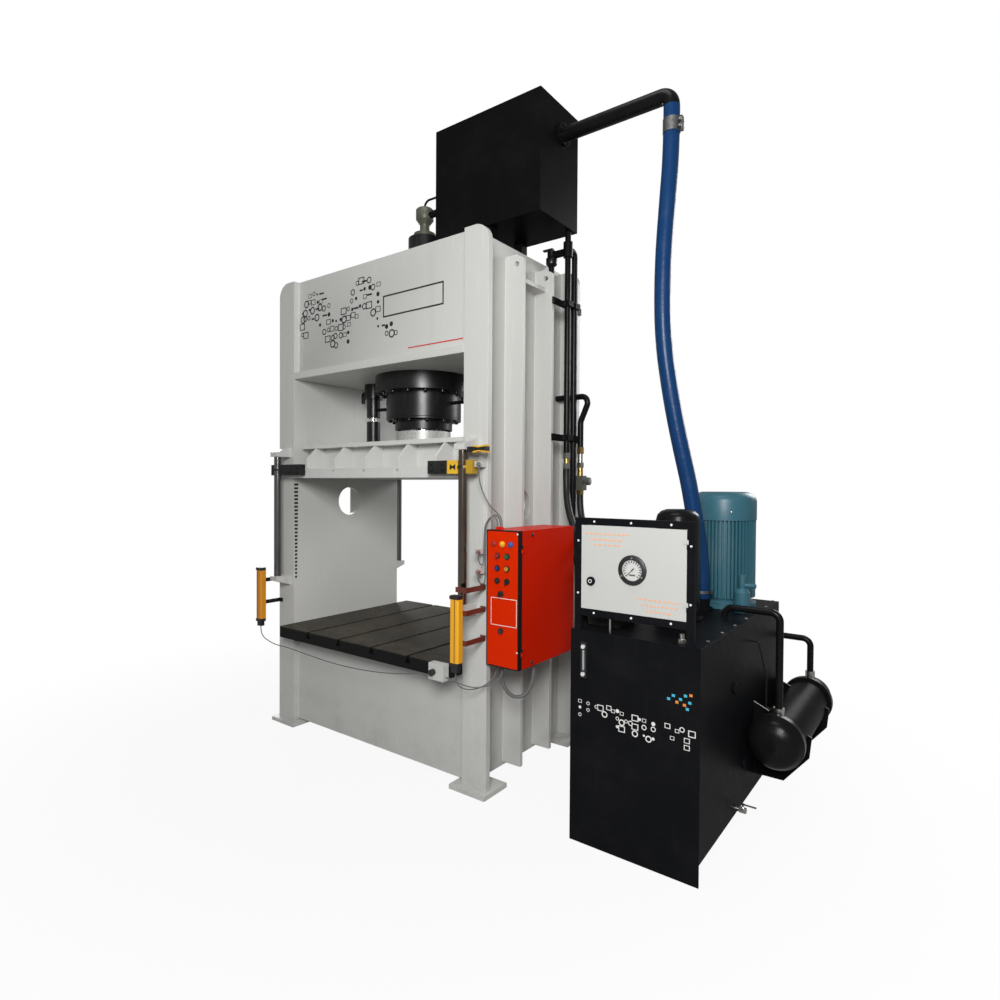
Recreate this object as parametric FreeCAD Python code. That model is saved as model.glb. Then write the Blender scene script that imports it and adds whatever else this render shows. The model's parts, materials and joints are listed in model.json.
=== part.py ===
import FreeCAD, Part
import math
import os

# Straight-sided hydraulic press. Origin on the floor under the ram, X to the right,
# Y to the back, Z up, millimetres.

V = FreeCAD.Vector
AX, AY, AZ = V(1, 0, 0), V(0, 1, 0), V(0, 0, 1)
ORIGIN = V(0, 0, 0)

FACE_GAP = 0.3          # round or moving faces of different bodies
RUN_GAP = 0.05          # radial clearance of a shaft in its hole

# ---- frame -----------------------------------------------------------------
DAYLIGHT_WIDTH = 1462.0     # between the inner faces of the side webs
PRESS_HEIGHT = 2945.0
FRAME_DEPTH = 946.0
WEB = 40.0
FLANGE = 35.0
FLANGE_WIDTH = 160.0
CORNER_R = 90.0             # rounded outer top corner of each flange
RIB = 25.0
RIB_PITCH = 300.0
RIB_DROP = 70.0             # rib top below the top of the press
RIB_FOOT = 45.0
RIB_CUT = (45.0, 27.0)
EYE_R = 14.0                # lifting hole near the top of each rib
EYE_INSET = 44.0
EYE_DROP = 53.0
GUSSET_DROP = 178.0
PORT_R = 100.0              # round window in each web
PORT_Z = 1484.0
FOOT_WIDTH = 236.0
FOOT_LENGTH = 198.0
FOOT = 25.0
FOOT_INSET = 53.0           # foot plate inside the web's inner face
FOOT_FORWARD = 43.0         # foot plate ahead of the flange face
ANCHOR_R = 11.0
PLATE_RECESS = 38.0         # crown and bed plates behind the flange faces
FRAME_PLATE = 40.0
CROWN_BOTTOM = 2298.0
CROWN_FLOOR = 44.0
CROWN_ROOF = 25.0
CROWN_WEB_X = 375.0
BED_BOTTOM = 30.0
BED_ROOF = 30.0
BED_WEB_X = 365.0
BOLSTER_TOP = 677.0
BOLSTER = 72.0
BOLSTER_DEPTH = 1160.0
SIDE_PLAY = 1.0             # bolster to side web
SLOT_PITCH = 290.0
SLOT_NECK = 22.0
SLOT_HEAD = 38.0
SLOT_LIP = 24.0
SLOT_DEPTH = 42.0

# ---- slide -----------------------------------------------------------------
SLIDE_BOTTOM = 1643.0
SLIDE_PLATE = 60.0
SLIDE_TOP = 1861.0
SLIDE_ROOF = 25.0
SLIDE_WIDTH = 1440.0
SLIDE_DEPTH = 1026.0
SLIDE_CORE = 860.0          # depth of the closed body behind the ribs
SLIDE_RIB = 16.0
SLIDE_RIB_PITCH = 280.0
SLIDE_RIB_CUT = 78.0
TAP_R = 9.0
TAP_DEPTH = 30.0
ROD_R = 23.0
ROD_X = 795.0
ROD_OFFSET = 80.0           # rod axis ahead of the flange face
ROD_BOTTOM = 962.0
ROD_TOP = 1815.0
BLOCK_HEIGHT = 70.0
BLOCK_BOTTOM = 1660.0
BLOCK_THICK = 46.0          # less than the rod's far side: the rod shows in front
BLOCK_OUTER = 65.0          # rod axis to the block's outer end
BLOCK_INNER = 240.0
KEEPER = 6.0                # strap round the rod's front
KEEPER_HEIGHT = 14.0
BRACKET_WIDTH = 70.0
BRACKET_LOW = 930.0
BRACKET_HIGH = 1782.0
BRACKET_HEIGHT = 66.0
BRACKET_LAP = 32.0          # material ahead of the rod axis

# ---- cylinders -------------------------------------------------------------
BARREL_R = 242.5
BARREL_BOTTOM = 2030.0
COLLAR_R = 312.5
COLLAR_BOTTOM = 2190.0
TAIL_R = 215.0
TAIL_RISE = 55.0            # tail above the top of the press
TAIL_WALL = 60.0
CAP_R = 105.0
CAP = 200.0
BORE_R = 150.0
GLAND_R = 185.0
GLAND_BOTTOM = 1955.0
GLAND_LIP = 14.0
RAM_R = 145.0
RAM_PLAY = 90.0             # above the ram with the slide up
RAM_FLANGE_R = 175.0
RAM_FLANGE = 84.0
PULL_X = 482.0
PULL_R = 46.5
PULL_BOTTOM = 2072.0
PULL_HEAD_R = 62.0
PULL_HEAD_BOTTOM = 2196.0
PULL_BORE_R = 36.0
PULL_ROD_R = 19.5
PULL_COUPLING = 179.0
PULL_PLAY = 60.0
PULL_LINK_Z = 2120.0

# ---- side equipment --------------------------------------------------------
BOX_WIDTH = 200.0
BOX_DEPTH = 515.0
BOX_HEIGHT = 690.0
BOX_BOTTOM = 688.0
BOX_GAP = 4.0               # box back to the ribs' edges
BOX_FRONT = -460.0
SHEET = 3.0
DOOR = 20.0
DOOR_GAP = 1.0
HINGE_R = 5.0
BEZEL_R = 15.0
BEZEL = 8.0
BUTTON_R = 11.0
BUTTON_OUT = 13.0
LAMP_R = 11.0
BAR_WIDTH = 56.0
BAR_DEPTH = 38.0
BAR_X = 836.0
BAR_Y = -650.0
BAR_BOTTOM = 725.0
BAR_TOP = 1040.0
BAR_CAP = 18.0
BAR_PLUG = 30.0
BAR_EDGE = 8.0
STRAP_X = 886.0             # outer side of the straps
STRAP_FOOT = 34.0
RIGHT_STRAPS = (1083.0, 970.0, 821.0)
LEFT_STRAPS = (965.0, 818.0)
TANK_LEFT, TANK_RIGHT = 177.0, 950.0
TANK_FRONT, TANK_BACK = -90.0, 324.0
TANK_HEIGHT = 675.0
TANK_WALL = 6.0
LEG = 60.0
LEG_HEIGHT = 175.0
LEG_X = (237.0, 540.0)
LEG_INSET = 20.0
RETURN_R = 41.0
RETURN_Y = 148.0
RETURN_DROP = 167.0         # pipe axis below the tank's roof
ELBOW_X = 1600.0
ELBOW_R = 85.0
HOSE_R = 42.0
DROP_R = 18.0
DROP_X = 920.0
DROP_Y = (267.0, 347.0)
DROP_TEE = 62.0             # tee below the tank's floor
TEE_R = 28.0
TEE = 90.0
BRANCH_R = 22.0
BRANCH_DROP = 55.0          # stop valve's branch below the top of the tee
DROP_LOW = (1800.0, 1420.0)
CLAMP_LOW = 90.0            # lower pipe clamp above the lower end of the first pipe
CLAMP_HIGH = 368.0          # upper one below the tee's top
STOP_X = 805.0
STOP_IN = 65.0              # stop valve's pipe enters the web this far below its top
LEVER = 9.0
LEVER_RISE = 33.0           # lever above the branch
LEVER_LONG = 56.0
LEVER_HALF = 11.0

# ---- power pack ------------------------------------------------------------
PACK_LEFT, PACK_RIGHT = 1420.0, 2010.0
PACK_FRONT, PACK_BACK = -536.0, 776.0
PACK_TOP = 958.0
PACK_BOTTOM = 90.0
PACK_WALL = 6.0
PACK_LID = 10.0
PANEL_LEFT, PANEL_RIGHT = 1439.0, 1982.0
PANEL_TOP = 1461.0
PANEL_DEPTH = 20.0
PANEL_BORDER = 32.0
PANEL_SILL = 1057.0
PANEL_DOOR = 6.0
GAUGE_X, GAUGE_Z = 1716.0, 1246.0
GAUGE_R = 49.0
GAUGE_FLANGE_R = 64.0
LOCK_X, LOCK_Z = 1522.0, 1183.0
LEVEL_X = 1495.0
LEVEL_Z = (769.0, 891.0)
MOTOR_X, MOTOR_Y = 1780.0, 505.0
MOTOR_R = 148.0
MOTOR_FIN = 17.0
MOTOR_FINS = 52
MOTOR_TOP = 1575.0
MOTOR_FOOT = 982.0
COWL_BOTTOM = 1424.0
COWL_WALL = 3.0
COWL_LAP = 34.0
TERMINAL_TURN = 115.0       # about the motor's axis, from +X
TERMINAL_Z = 1135.0
SHAFT_LOW, SHAFT_TOP = 790.0, 1530.0
CORE_Z = (1080.0, 1320.0)
CAVITY_Z = (1060.0, 1340.0)
BELL_Z = (770.0, 925.0)
PUMP_Z = (560.0, 745.0)
STRAINER_Z = (150.0, 420.0)
FILTER_X, FILTER_Y = 1720.0, -23.0
FILTER_R = 105.0
FILTER_TOP = 1491.0
BREATHER_X, BREATHER_Y = 1500.0, 640.0
COVER_VALVE_X, COVER_VALVE_Y = 1930.0, 330.0
COVER_VALVE_R = 38.0
COVER_VALVE_TOP = 1080.0
COVER_NECK_R = 16.0
COVER_NECK_TOP = 1150.0
SPIGOT_X, SPIGOT_Y = 1740.0, 274.0
SPIGOT_R = 56.0
SPIGOT = 61.0
COOLER_X, COOLER_Z = 2148.0, 413.0
COOLER_R = 110.0
COOLER_FLANGE_R = 127.0
COOLER_FRONT = 107.0        # front flange's joint
COOLER_REAR = 860.0         # rear flange's far face
COOLER_TAIL = 120.0
COOLER_FOOT = 175.0
COOLER_HOLDERS = (262.0, 742.0)
COOLER_PORTS = (167.0, 920.0)
COOLER_OVER = 1005.0        # front pipe, above the cover
COOLER_RISER = 1890.0
COOLER_RETURN = 738.0       # rear pipe
COOLER_ENTRY = 1900.0
PIPE_R = 17.0
DRAIN_Y, DRAIN_Z = -36.0, 120.0
PLUGS = ((-79.0, 687.0), (90.0, 285.0))
PLUG_R = 25.0
GAUGE_LINE_X = 1600.0
COVER_PLUG_X, COVER_PLUG_Y = 1914.0, -484.0


def mm_box(x0, x1, y0, y1, z0, z1):
    """Plate or block between two opposite corners."""
    return Part.makeBox(x1 - x0, y1 - y0, z1 - z0, V(x0, y0, z0))


def rod(r, length, x, y, z, axis=AZ):
    """Round bar from a centre point along an axis."""
    return Part.makeCylinder(r, length, V(x, y, z), axis)


def plate(points, height, axis):
    """Flat outline through 3-D points, extruded along an axis."""
    outline = Part.makePolygon([V(*p) for p in points] + [V(*points[0])])
    return Part.Face(outline).extrude(axis * height)


def turned(profile, x, y, z=0.0, axis=AZ):
    """Profile of (radius, height) points turned about a line through (x, y, z)."""
    outline = Part.makePolygon([V(r, 0, h) for r, h in profile] + [V(profile[0][0], 0, profile[0][1])])
    solid = Part.Face(outline).revolve(ORIGIN, AZ, 360)
    solid.Placement = FreeCAD.Placement(V(x, y, z), FreeCAD.Rotation(AZ, axis))
    return solid


def hexagon(across, height, x, y, z, axis=AZ):
    """Hexagonal nut or union."""
    r = across / math.sqrt(3)
    points = [(r * math.cos(math.radians(60 * i)), r * math.sin(math.radians(60 * i)), 0)
              for i in range(6)]
    solid = plate(points, height, AZ)
    solid.Placement = FreeCAD.Placement(V(x, y, z), FreeCAD.Rotation(AZ, axis))
    return solid


def fuse(first, *rest):
    """Join solids that are one piece, with the seams between coplanar faces taken out."""
    return first.multiFuse(list(rest)).removeSplitter() if rest else first


def mirror_x(shape):
    return shape.mirror(ORIGIN, AX)


def mirror_y(shape):
    return shape.mirror(ORIGIN, AY)


def four_ways(shape):
    """One piece at each corner of the press."""
    right = [shape, mirror_y(shape)]
    return right + [mirror_x(s) for s in right]


def save(name, *solids):
    """Write one node: a single solid, or a group of separate ones."""
    shape = solids[0] if len(solids) == 1 else Part.makeCompound(list(solids))
    shape.exportStep("parts/%s.step" % name)


def route(points):
    """Straight runs joined by tangent arcs, each arc as large as its runs allow."""
    pts = [V(*p) for p in points]
    edges = []
    start = pts[0]
    radii = []
    for before, corner, after in zip(pts, pts[1:], pts[2:]):
        into = (corner - before).normalize()
        out = (after - corner).normalize()
        turn = into.getAngle(out)
        setback = 0.45 * min(corner.distanceToPoint(before), corner.distanceToPoint(after))
        radius = setback / math.tan(turn / 2)
        radii.append(radius)
        arc_in = corner - into * setback
        arc_out = corner + out * setback
        inward = (out - into).normalize()
        middle = corner + inward * (radius / math.cos(turn / 2) - radius)
        edges.append(Part.LineSegment(start, arc_in).toShape())
        edges.append(Part.Arc(arc_in, middle, arc_out).toShape())
        start = arc_out
    edges.append(Part.LineSegment(start, pts[-1]).toShape())
    return Part.Wire(edges), radii


def tube(label, points, radius, sides=0):
    """Cord, hose or bent pipe along a route; round, or with flat sides when it is thin."""
    path, radii = route(points)
    heading = (V(*points[1]) - V(*points[0])).normalize()
    if sides:
        spin = FreeCAD.Rotation(AZ, heading)
        ring = [V(radius * math.cos(2 * math.pi * i / sides), radius * math.sin(2 * math.pi * i / sides), 0)
                for i in range(sides)]
        ring = [V(*points[0]) + spin.multVec(p) for p in ring]
        profile = Part.makePolygon(ring + [ring[0]])
        section = sides * radius ** 2 * math.sin(2 * math.pi / sides) / 2
    else:
        profile = Part.Wire(Part.makeCircle(radius, V(*points[0]), heading))
        section = math.pi * radius ** 2
    solid = path.makePipeShell([profile], True, False)
    print("%s: length %.0f mm, least radius %.0f mm, volume over section times length %.3f"
          % (label, path.Length, min(radii), solid.Volume / (section * path.Length)))
    return solid


os.makedirs("parts", exist_ok=True)

# ---- sizes that follow -----------------------------------------------------
web_in = DAYLIGHT_WIDTH / 2
web_out = web_in + WEB
side_out = web_in + FLANGE_WIDTH
front = -FRAME_DEPTH / 2
back = FRAME_DEPTH / 2
foot_top = FOOT
rib_y = (-RIB_PITCH / 2, RIB_PITCH / 2)
rib_top = PRESS_HEIGHT - RIB_DROP
tail_top = PRESS_HEIGHT + TAIL_RISE
bore_top = tail_top - TAIL_WALL
cap_top = tail_top + CAP
tank_bottom = PRESS_HEIGHT + LEG_HEIGHT
tank_top = tank_bottom + TANK_HEIGHT
return_z = tank_top - RETURN_DROP
drop_top = tank_bottom - DROP_TEE
stop_z = drop_top - BRANCH_DROP
stop_low = PRESS_HEIGHT - STOP_IN


def upright():
    """Right side of the frame: web, two flanges with a rounded top corner, two ribs and a gusset."""
    web = mm_box(web_in, web_out, front + FLANGE, back - FLANGE, foot_top, PRESS_HEIGHT)
    web = web.cut(rod(PORT_R, WEB + 2, web_in - 1, 0, PORT_Z, AX))
    flange = mm_box(web_in, side_out, front, front + FLANGE, foot_top, PRESS_HEIGHT)
    corner = [e for e in flange.Edges
              if abs(e.CenterOfMass.x - side_out) < 1 and abs(e.CenterOfMass.z - PRESS_HEIGHT) < 1]
    flange = flange.makeFillet(CORNER_R, corner)
    ribs = []
    for y in rib_y:
        outline = [(web_out, y - RIB / 2, RIB_FOOT), (side_out, y - RIB / 2, RIB_FOOT),
                   (side_out, y - RIB / 2, rib_top - RIB_CUT[1]),
                   (side_out - RIB_CUT[0], y - RIB / 2, rib_top),
                   (web_out, y - RIB / 2, rib_top)]
        rib = plate(outline, RIB, AY)
        rib = rib.cut(rod(EYE_R, RIB + 2, side_out - EYE_INSET, y - RIB / 2 - 1, rib_top - EYE_DROP, AY))
        ribs.append(rib)
    gusset = mm_box(web_out, side_out - EYE_INSET, rib_y[0] + RIB / 2, rib_y[1] - RIB / 2,
                    PRESS_HEIGHT - GUSSET_DROP - RIB, PRESS_HEIGHT - GUSSET_DROP)
    return fuse(web, flange, mirror_y(flange), gusset, *ribs)


right_upright = upright()
save("right_upright", right_upright)
save("left_upright", mirror_x(right_upright))

foot_x = web_in - FOOT_INSET
foot_plate = mm_box(foot_x, foot_x + FOOT_WIDTH, front - FOOT_FORWARD,
                    front - FOOT_FORWARD + FOOT_LENGTH, 0, FOOT)
anchor_x = (web_out + side_out) / 2
anchor_y = front + FLANGE + 60
foot_plate = foot_plate.cut(rod(ANCHOR_R, FOOT + 2, anchor_x, anchor_y, -1))
save("foot_plates", *four_ways(foot_plate))

# ---- crown and bed: closed welded boxes between the webs -------------------
plate_front = front + PLATE_RECESS


def crown():
    front_plate = mm_box(-web_in, web_in, plate_front, plate_front + FRAME_PLATE,
                         CROWN_BOTTOM + CROWN_FLOOR, PRESS_HEIGHT)
    floor = mm_box(-web_in, web_in, front, back, CROWN_BOTTOM, CROWN_BOTTOM + CROWN_FLOOR)
    inner = plate_front + FRAME_PLATE
    roof = mm_box(-web_in, web_in, inner, -inner, PRESS_HEIGHT - CROWN_ROOF, PRESS_HEIGHT)
    webs = [mm_box(x - RIB / 2, x + RIB / 2, inner, -inner, CROWN_BOTTOM + CROWN_FLOOR,
                   PRESS_HEIGHT - CROWN_ROOF) for x in (-CROWN_WEB_X, CROWN_WEB_X)]
    body = fuse(front_plate, mirror_y(front_plate), floor, roof, *webs)
    body = body.cut(rod(TAIL_R, PRESS_HEIGHT, 0, 0, CROWN_BOTTOM - 1))
    for x in (-PULL_X, PULL_X):
        body = body.cut(rod(PULL_R, PRESS_HEIGHT, x, 0, CROWN_BOTTOM - 1))
    return body


save("crown", crown())


def bed():
    top = BOLSTER_TOP - BOLSTER
    front_plate = mm_box(-web_in, web_in, plate_front, plate_front + FRAME_PLATE, BED_BOTTOM, top)
    inner = plate_front + FRAME_PLATE
    roof = mm_box(-web_in, web_in, inner, -inner, top - BED_ROOF, top)
    floor = mm_box(-web_in, web_in, inner, -inner, BED_BOTTOM, BED_BOTTOM + RIB)
    webs = [mm_box(x - RIB / 2, x + RIB / 2, inner, -inner, BED_BOTTOM + RIB, top - BED_ROOF)
            for x in (-BED_WEB_X, BED_WEB_X)]
    return fuse(front_plate, mirror_y(front_plate), roof, floor, *webs)


save("bed", bed())


def bolster():
    """Thick table plate with four T-slots from front to back."""
    half = web_in - SIDE_PLAY
    depth = BOLSTER_DEPTH
    body = mm_box(-half, half, -depth / 2, depth / 2, BOLSTER_TOP - BOLSTER, BOLSTER_TOP)
    for i in range(4):
        x = (i - 1.5) * SLOT_PITCH
        top = BOLSTER_TOP
        lip, low = top - SLOT_LIP, top - SLOT_DEPTH
        n, h = SLOT_NECK / 2, SLOT_HEAD / 2
        y = -depth / 2 - 1
        outline = [(x - n, y, top + 1), (x - n, y, lip), (x - h, y, lip), (x - h, y, low),
                   (x + h, y, low), (x + h, y, lip), (x + n, y, lip), (x + n, y, top + 1)]
        body = body.cut(plate(outline, depth + 2, AY))
    return body


save("bolster_table", bolster())

# ---- main cylinder, prefill valve, pull-back cylinders ---------------------
barrel = turned([(BORE_R, BARREL_BOTTOM), (BARREL_R, BARREL_BOTTOM), (BARREL_R, COLLAR_BOTTOM),
                 (COLLAR_R, COLLAR_BOTTOM), (COLLAR_R, CROWN_BOTTOM), (TAIL_R, CROWN_BOTTOM),
                 (TAIL_R, tail_top), (CAP_R, tail_top), (CAP_R, cap_top), (0, cap_top),
                 (0, bore_top), (BORE_R, bore_top)], 0, 0)
save("main_cylinder", barrel)

gland = turned([(RAM_R + FACE_GAP, GLAND_BOTTOM), (GLAND_R, GLAND_BOTTOM),
                (GLAND_R, BARREL_BOTTOM - GLAND_LIP), (BARREL_R, BARREL_BOTTOM - GLAND_LIP),
                (BARREL_R, BARREL_BOTTOM), (RAM_R + FACE_GAP, BARREL_BOTTOM)], 0, 0)
save("cylinder_gland", gland)

VALVE_WAIST_R = 31.0
VALVE_FOOT_R = 70.0
VALVE_FOOT = 34.0
VALVE_HEAD_R = 57.0
VALVE_HEAD = 74.0
VALVE_CONE = 34.0
VALVE_HEIGHT = 197.0
VALVE_EDGE = 9.0
valve_top = cap_top + VALVE_HEIGHT
head_low = valve_top - VALVE_HEAD
prefill = turned([(0, cap_top), (VALVE_FOOT_R, cap_top), (VALVE_FOOT_R, cap_top + VALVE_FOOT),
                  (VALVE_WAIST_R + VALVE_EDGE, cap_top + VALVE_FOOT + VALVE_EDGE),
                  (VALVE_WAIST_R, cap_top + VALVE_FOOT + 2 * VALVE_EDGE),
                  (VALVE_WAIST_R, head_low - VALVE_CONE),
                  (VALVE_HEAD_R, head_low), (VALVE_HEAD_R, valve_top - VALVE_EDGE),
                  (VALVE_HEAD_R - VALVE_EDGE, valve_top), (0, valve_top)], 0, 0)
save("prefill_valve", prefill)


def pullback(x):
    """Slim cylinder through the crown, with a wider ported head just under it."""
    head_top = CROWN_BOTTOM
    body = turned([(PULL_ROD_R + FACE_GAP, PULL_BOTTOM), (PULL_R, PULL_BOTTOM),
                   (PULL_R, PULL_HEAD_BOTTOM), (PULL_HEAD_R, PULL_HEAD_BOTTOM),
                   (PULL_HEAD_R, head_top), (PULL_R, head_top),
                   (PULL_R, PRESS_HEIGHT + 30), (0, PRESS_HEIGHT + 30), (0, PRESS_HEIGHT),
                   (PULL_BORE_R, PRESS_HEIGHT), (PULL_BORE_R, PULL_BOTTOM + 40),
                   (PULL_ROD_R + FACE_GAP, PULL_BOTTOM + 40)], x, 0)
    return body


save("pullback_cylinders", pullback(-PULL_X), pullback(PULL_X))

ram_top = bore_top - RAM_PLAY
ram = turned([(0, SLIDE_TOP), (RAM_R, SLIDE_TOP), (RAM_R, ram_top), (0, ram_top)], 0, 0)
ram_flange = turned([(RAM_R, SLIDE_TOP), (RAM_FLANGE_R, SLIDE_TOP), (RAM_FLANGE_R, SLIDE_TOP + RAM_FLANGE),
                     (RAM_R, SLIDE_TOP + RAM_FLANGE)], 0, 0)
save("ram", ram)


def pullback_rod(x):
    """Rod with its piston and the round coupling that holds it to the slide."""
    top = PRESS_HEIGHT - PULL_PLAY
    return turned([(0, SLIDE_TOP), (PULL_R, SLIDE_TOP), (PULL_R, SLIDE_TOP + PULL_COUPLING),
                   (PULL_ROD_R, SLIDE_TOP + PULL_COUPLING), (PULL_ROD_R, top - 40),
                   (PULL_BORE_R - FACE_GAP, top - 40), (PULL_BORE_R - FACE_GAP, top), (0, top)], x, 0)


save("pullback_rods", pullback_rod(-PULL_X), pullback_rod(PULL_X))

# ---- slide -----------------------------------------------------------------


def slide():
    """Ribbed box on a thick face plate, with tapped holes along the plate's front and back."""
    half = SLIDE_WIDTH / 2
    deep = SLIDE_DEPTH / 2
    core = SLIDE_CORE / 2
    plate_top = SLIDE_BOTTOM + SLIDE_PLATE
    base = mm_box(-half, half, -deep, deep, SLIDE_BOTTOM, plate_top)
    inner = core - 70
    rib_x = [(i - 2) * SLIDE_RIB_PITCH for i in range(5)]
    body = mm_box(-half + 20, half - 20, -inner, inner, plate_top, SLIDE_TOP - SLIDE_ROOF)
    body = body.cut(mm_box(-half + 20 + RIB, half - 20 - RIB, -inner + RIB, inner - RIB, plate_top,
                           SLIDE_TOP - SLIDE_ROOF))
    roof = mm_box(-half + 20, half - 20, -core, core, SLIDE_TOP - SLIDE_ROOF, SLIDE_TOP)
    ribs = []
    for x in rib_x:
        outline = [(x - SLIDE_RIB / 2, -inner, plate_top), (x - SLIDE_RIB / 2, -deep + 12, plate_top),
                   (x - SLIDE_RIB / 2, -deep + 12, SLIDE_TOP - SLIDE_ROOF - SLIDE_RIB_CUT),
                   (x - SLIDE_RIB / 2, -core + 4, SLIDE_TOP - SLIDE_ROOF),
                   (x - SLIDE_RIB / 2, -inner, SLIDE_TOP - SLIDE_ROOF)]
        rib = plate(outline, SLIDE_RIB, AX)
        ribs += [rib, mirror_y(rib)]
    body = fuse(base, body, roof, *ribs)
    for x in rib_x:
        hole = rod(TAP_R, TAP_DEPTH, x, -deep, SLIDE_BOTTOM + 40, AY)
        body = body.cut(hole).cut(mirror_y(hole))
    return body


save("slide_platen", slide(), ram_flange)

rod_y = front - ROD_OFFSET
slide_face = -SLIDE_DEPTH / 2


def guide_block():
    """Block bolted to the slide's face, with an open groove for the guide rod and a strap round it."""
    block = mm_box(ROD_X - BLOCK_INNER, ROD_X + BLOCK_OUTER, slide_face - BLOCK_THICK, slide_face,
                   BLOCK_BOTTOM, BLOCK_BOTTOM + BLOCK_HEIGHT)
    keeper = rod(ROD_R + KEEPER, KEEPER_HEIGHT, ROD_X, rod_y,
                 BLOCK_BOTTOM + (BLOCK_HEIGHT - KEEPER_HEIGHT) / 2)
    block = fuse(block, keeper)
    return block.cut(rod(ROD_R + RUN_GAP, BLOCK_HEIGHT + 2, ROD_X, rod_y, BLOCK_BOTTOM - 1))


save("guide_blocks", *four_ways(guide_block()))

guide_rod = rod(ROD_R, ROD_TOP - ROD_BOTTOM, ROD_X, rod_y, ROD_BOTTOM)
save("guide_rods", *four_ways(guide_rod))


def bracket(low, high, brace):
    """Welded block that holds one end of a guide rod, with a sloping brace on the far side."""
    x0, x1 = ROD_X - BRACKET_WIDTH / 2, ROD_X + BRACKET_WIDTH / 2
    tip = rod_y - BRACKET_LAP
    cut = (high - low) * 0.45
    if brace > 0:
        outline = [(x0, front, low), (x0, tip, low), (x0, tip, low + cut), (x0, front, high)]
    else:
        outline = [(x0, front, high), (x0, tip, high), (x0, tip, high - cut), (x0, front, low)]
    return plate(outline, x1 - x0, AX).cut(guide_rod)


upper = bracket(BRACKET_HIGH, BRACKET_HIGH + BRACKET_HEIGHT, 1)
lower = bracket(BRACKET_LOW, BRACKET_LOW + BRACKET_HEIGHT, -1)
save("rod_brackets", *(four_ways(upper) + four_ways(lower)))

# ---- sensors on the right front flange -------------------------------------
SENSOR_R = 9.0
SENSOR_LENGTH = 25.0
SENSOR_Z = (1708.0, 1268.0, 1168.0)
SENSOR_REACH = 20.0         # sensor tip to the end of the striped block
STRAP = 4.0
STRAP_WIDTH = 26.0

sensor_x = ROD_X + BLOCK_OUTER + SENSOR_REACH
rail_x = side_out - 40
ARM = 26.0
ARM_DEPTH = 24.0
BOW_LENGTH = 78.0
BOW_DEPTH = 40.0
BOW_HALF = (20.0, 12.0)     # half height at the ends and in the middle
arm_z = BRACKET_HIGH - 12
rail = mm_box(rail_x - 15, rail_x + 15, front - 6, front, SENSOR_Z[-1] - 38, SENSOR_Z[0] + 38)
sensor_parts = [rail]
sensors = []
for z in SENSOR_Z:
    barrel_x = sensor_x + 4
    sensor = rod(SENSOR_R, SENSOR_LENGTH, sensor_x, rod_y, z, AX)
    ear = mm_box(barrel_x - 2, barrel_x + 2, rod_y - 14, front - 6, z - 14, z + 14)
    foot = mm_box(rail_x - 15, barrel_x + 2, front - 10, front - 6, z - 14, z + 14)
    sensor_parts.append(fuse(ear, foot).cut(sensor))
    sensors.append(sensor)
arm_left = ROD_X + BRACKET_WIDTH / 2
arm_end = side_out - 18
arm_y = rod_y - ARM_DEPTH / 2
sensor_parts.append(mm_box(arm_left, arm_end, arm_y, arm_y + ARM_DEPTH, arm_z, arm_z + ARM))
s_mid = arm_z + ARM / 2
bow_y = rod_y - BOW_DEPTH / 2
bow_mid, bow_end = arm_end + BOW_LENGTH / 2, arm_end + BOW_LENGTH
bow = plate([(arm_end, bow_y, s_mid - BOW_HALF[0]), (arm_end, bow_y, s_mid + BOW_HALF[0]),
             (bow_mid, bow_y, s_mid + BOW_HALF[1]), (bow_end, bow_y, s_mid + BOW_HALF[0]),
             (bow_end, bow_y, s_mid - BOW_HALF[0]), (bow_mid, bow_y, s_mid - BOW_HALF[1])], BOW_DEPTH, AY)
sensors.append(bow)
save("proximity_sensors", *sensors)

# ---- light guards ----------------------------------------------------------
plug_z = BAR_BOTTOM - BAR_CAP - BAR_PLUG


def guard_bar():
    """Yellow housing with black end caps and a plug housing below."""
    x0, x1 = BAR_X - BAR_WIDTH / 2, BAR_X + BAR_WIDTH / 2
    y0, y1 = BAR_Y - BAR_DEPTH / 2, BAR_Y + BAR_DEPTH / 2
    e = BAR_EDGE
    body = plate([(x0, y0 + e, BAR_BOTTOM), (x0 + e, y0, BAR_BOTTOM), (x1 - e, y0, BAR_BOTTOM),
                  (x1, y0 + e, BAR_BOTTOM), (x1, y1, BAR_BOTTOM), (x0, y1, BAR_BOTTOM)],
                 BAR_TOP - BAR_BOTTOM, AZ)
    top = mm_box(x0, x1, y0, y1, BAR_TOP, BAR_TOP + BAR_CAP)
    low = mm_box(x0, x1, y0, y1, BAR_BOTTOM - BAR_CAP, BAR_BOTTOM)
    plug = mm_box(BAR_X - 20, BAR_X + 20, BAR_Y - 14, BAR_Y + 14, plug_z, BAR_BOTTOM - BAR_CAP)
    return [body, top, fuse(low, plug)]


def guard_strap(z):
    """Flat strap bent twice, from the flange face out to the back of a guard bar."""
    y_bar = BAR_Y + BAR_DEPTH / 2
    h = z - STRAP_WIDTH / 2
    foot = STRAP_X - STRAP_FOOT
    hold = BAR_X - BAR_WIDTH / 2 + BAR_EDGE
    return plate([(foot, front, h), (STRAP_X, front, h), (STRAP_X, y_bar, h), (hold, y_bar, h),
                  (hold, y_bar + STRAP, h), (STRAP_X - STRAP, y_bar + STRAP, h),
                  (STRAP_X - STRAP, front - STRAP, h), (foot, front - STRAP, h)], STRAP_WIDTH, AZ)


right_bar = guard_bar()
save("light_guards", *(right_bar + [mirror_x(s) for s in right_bar]))
sensor_parts += [guard_strap(z) for z in RIGHT_STRAPS]
sensor_parts += [mirror_x(guard_strap(z)) for z in LEFT_STRAPS]
save("sensor_brackets", *sensor_parts)

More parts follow.
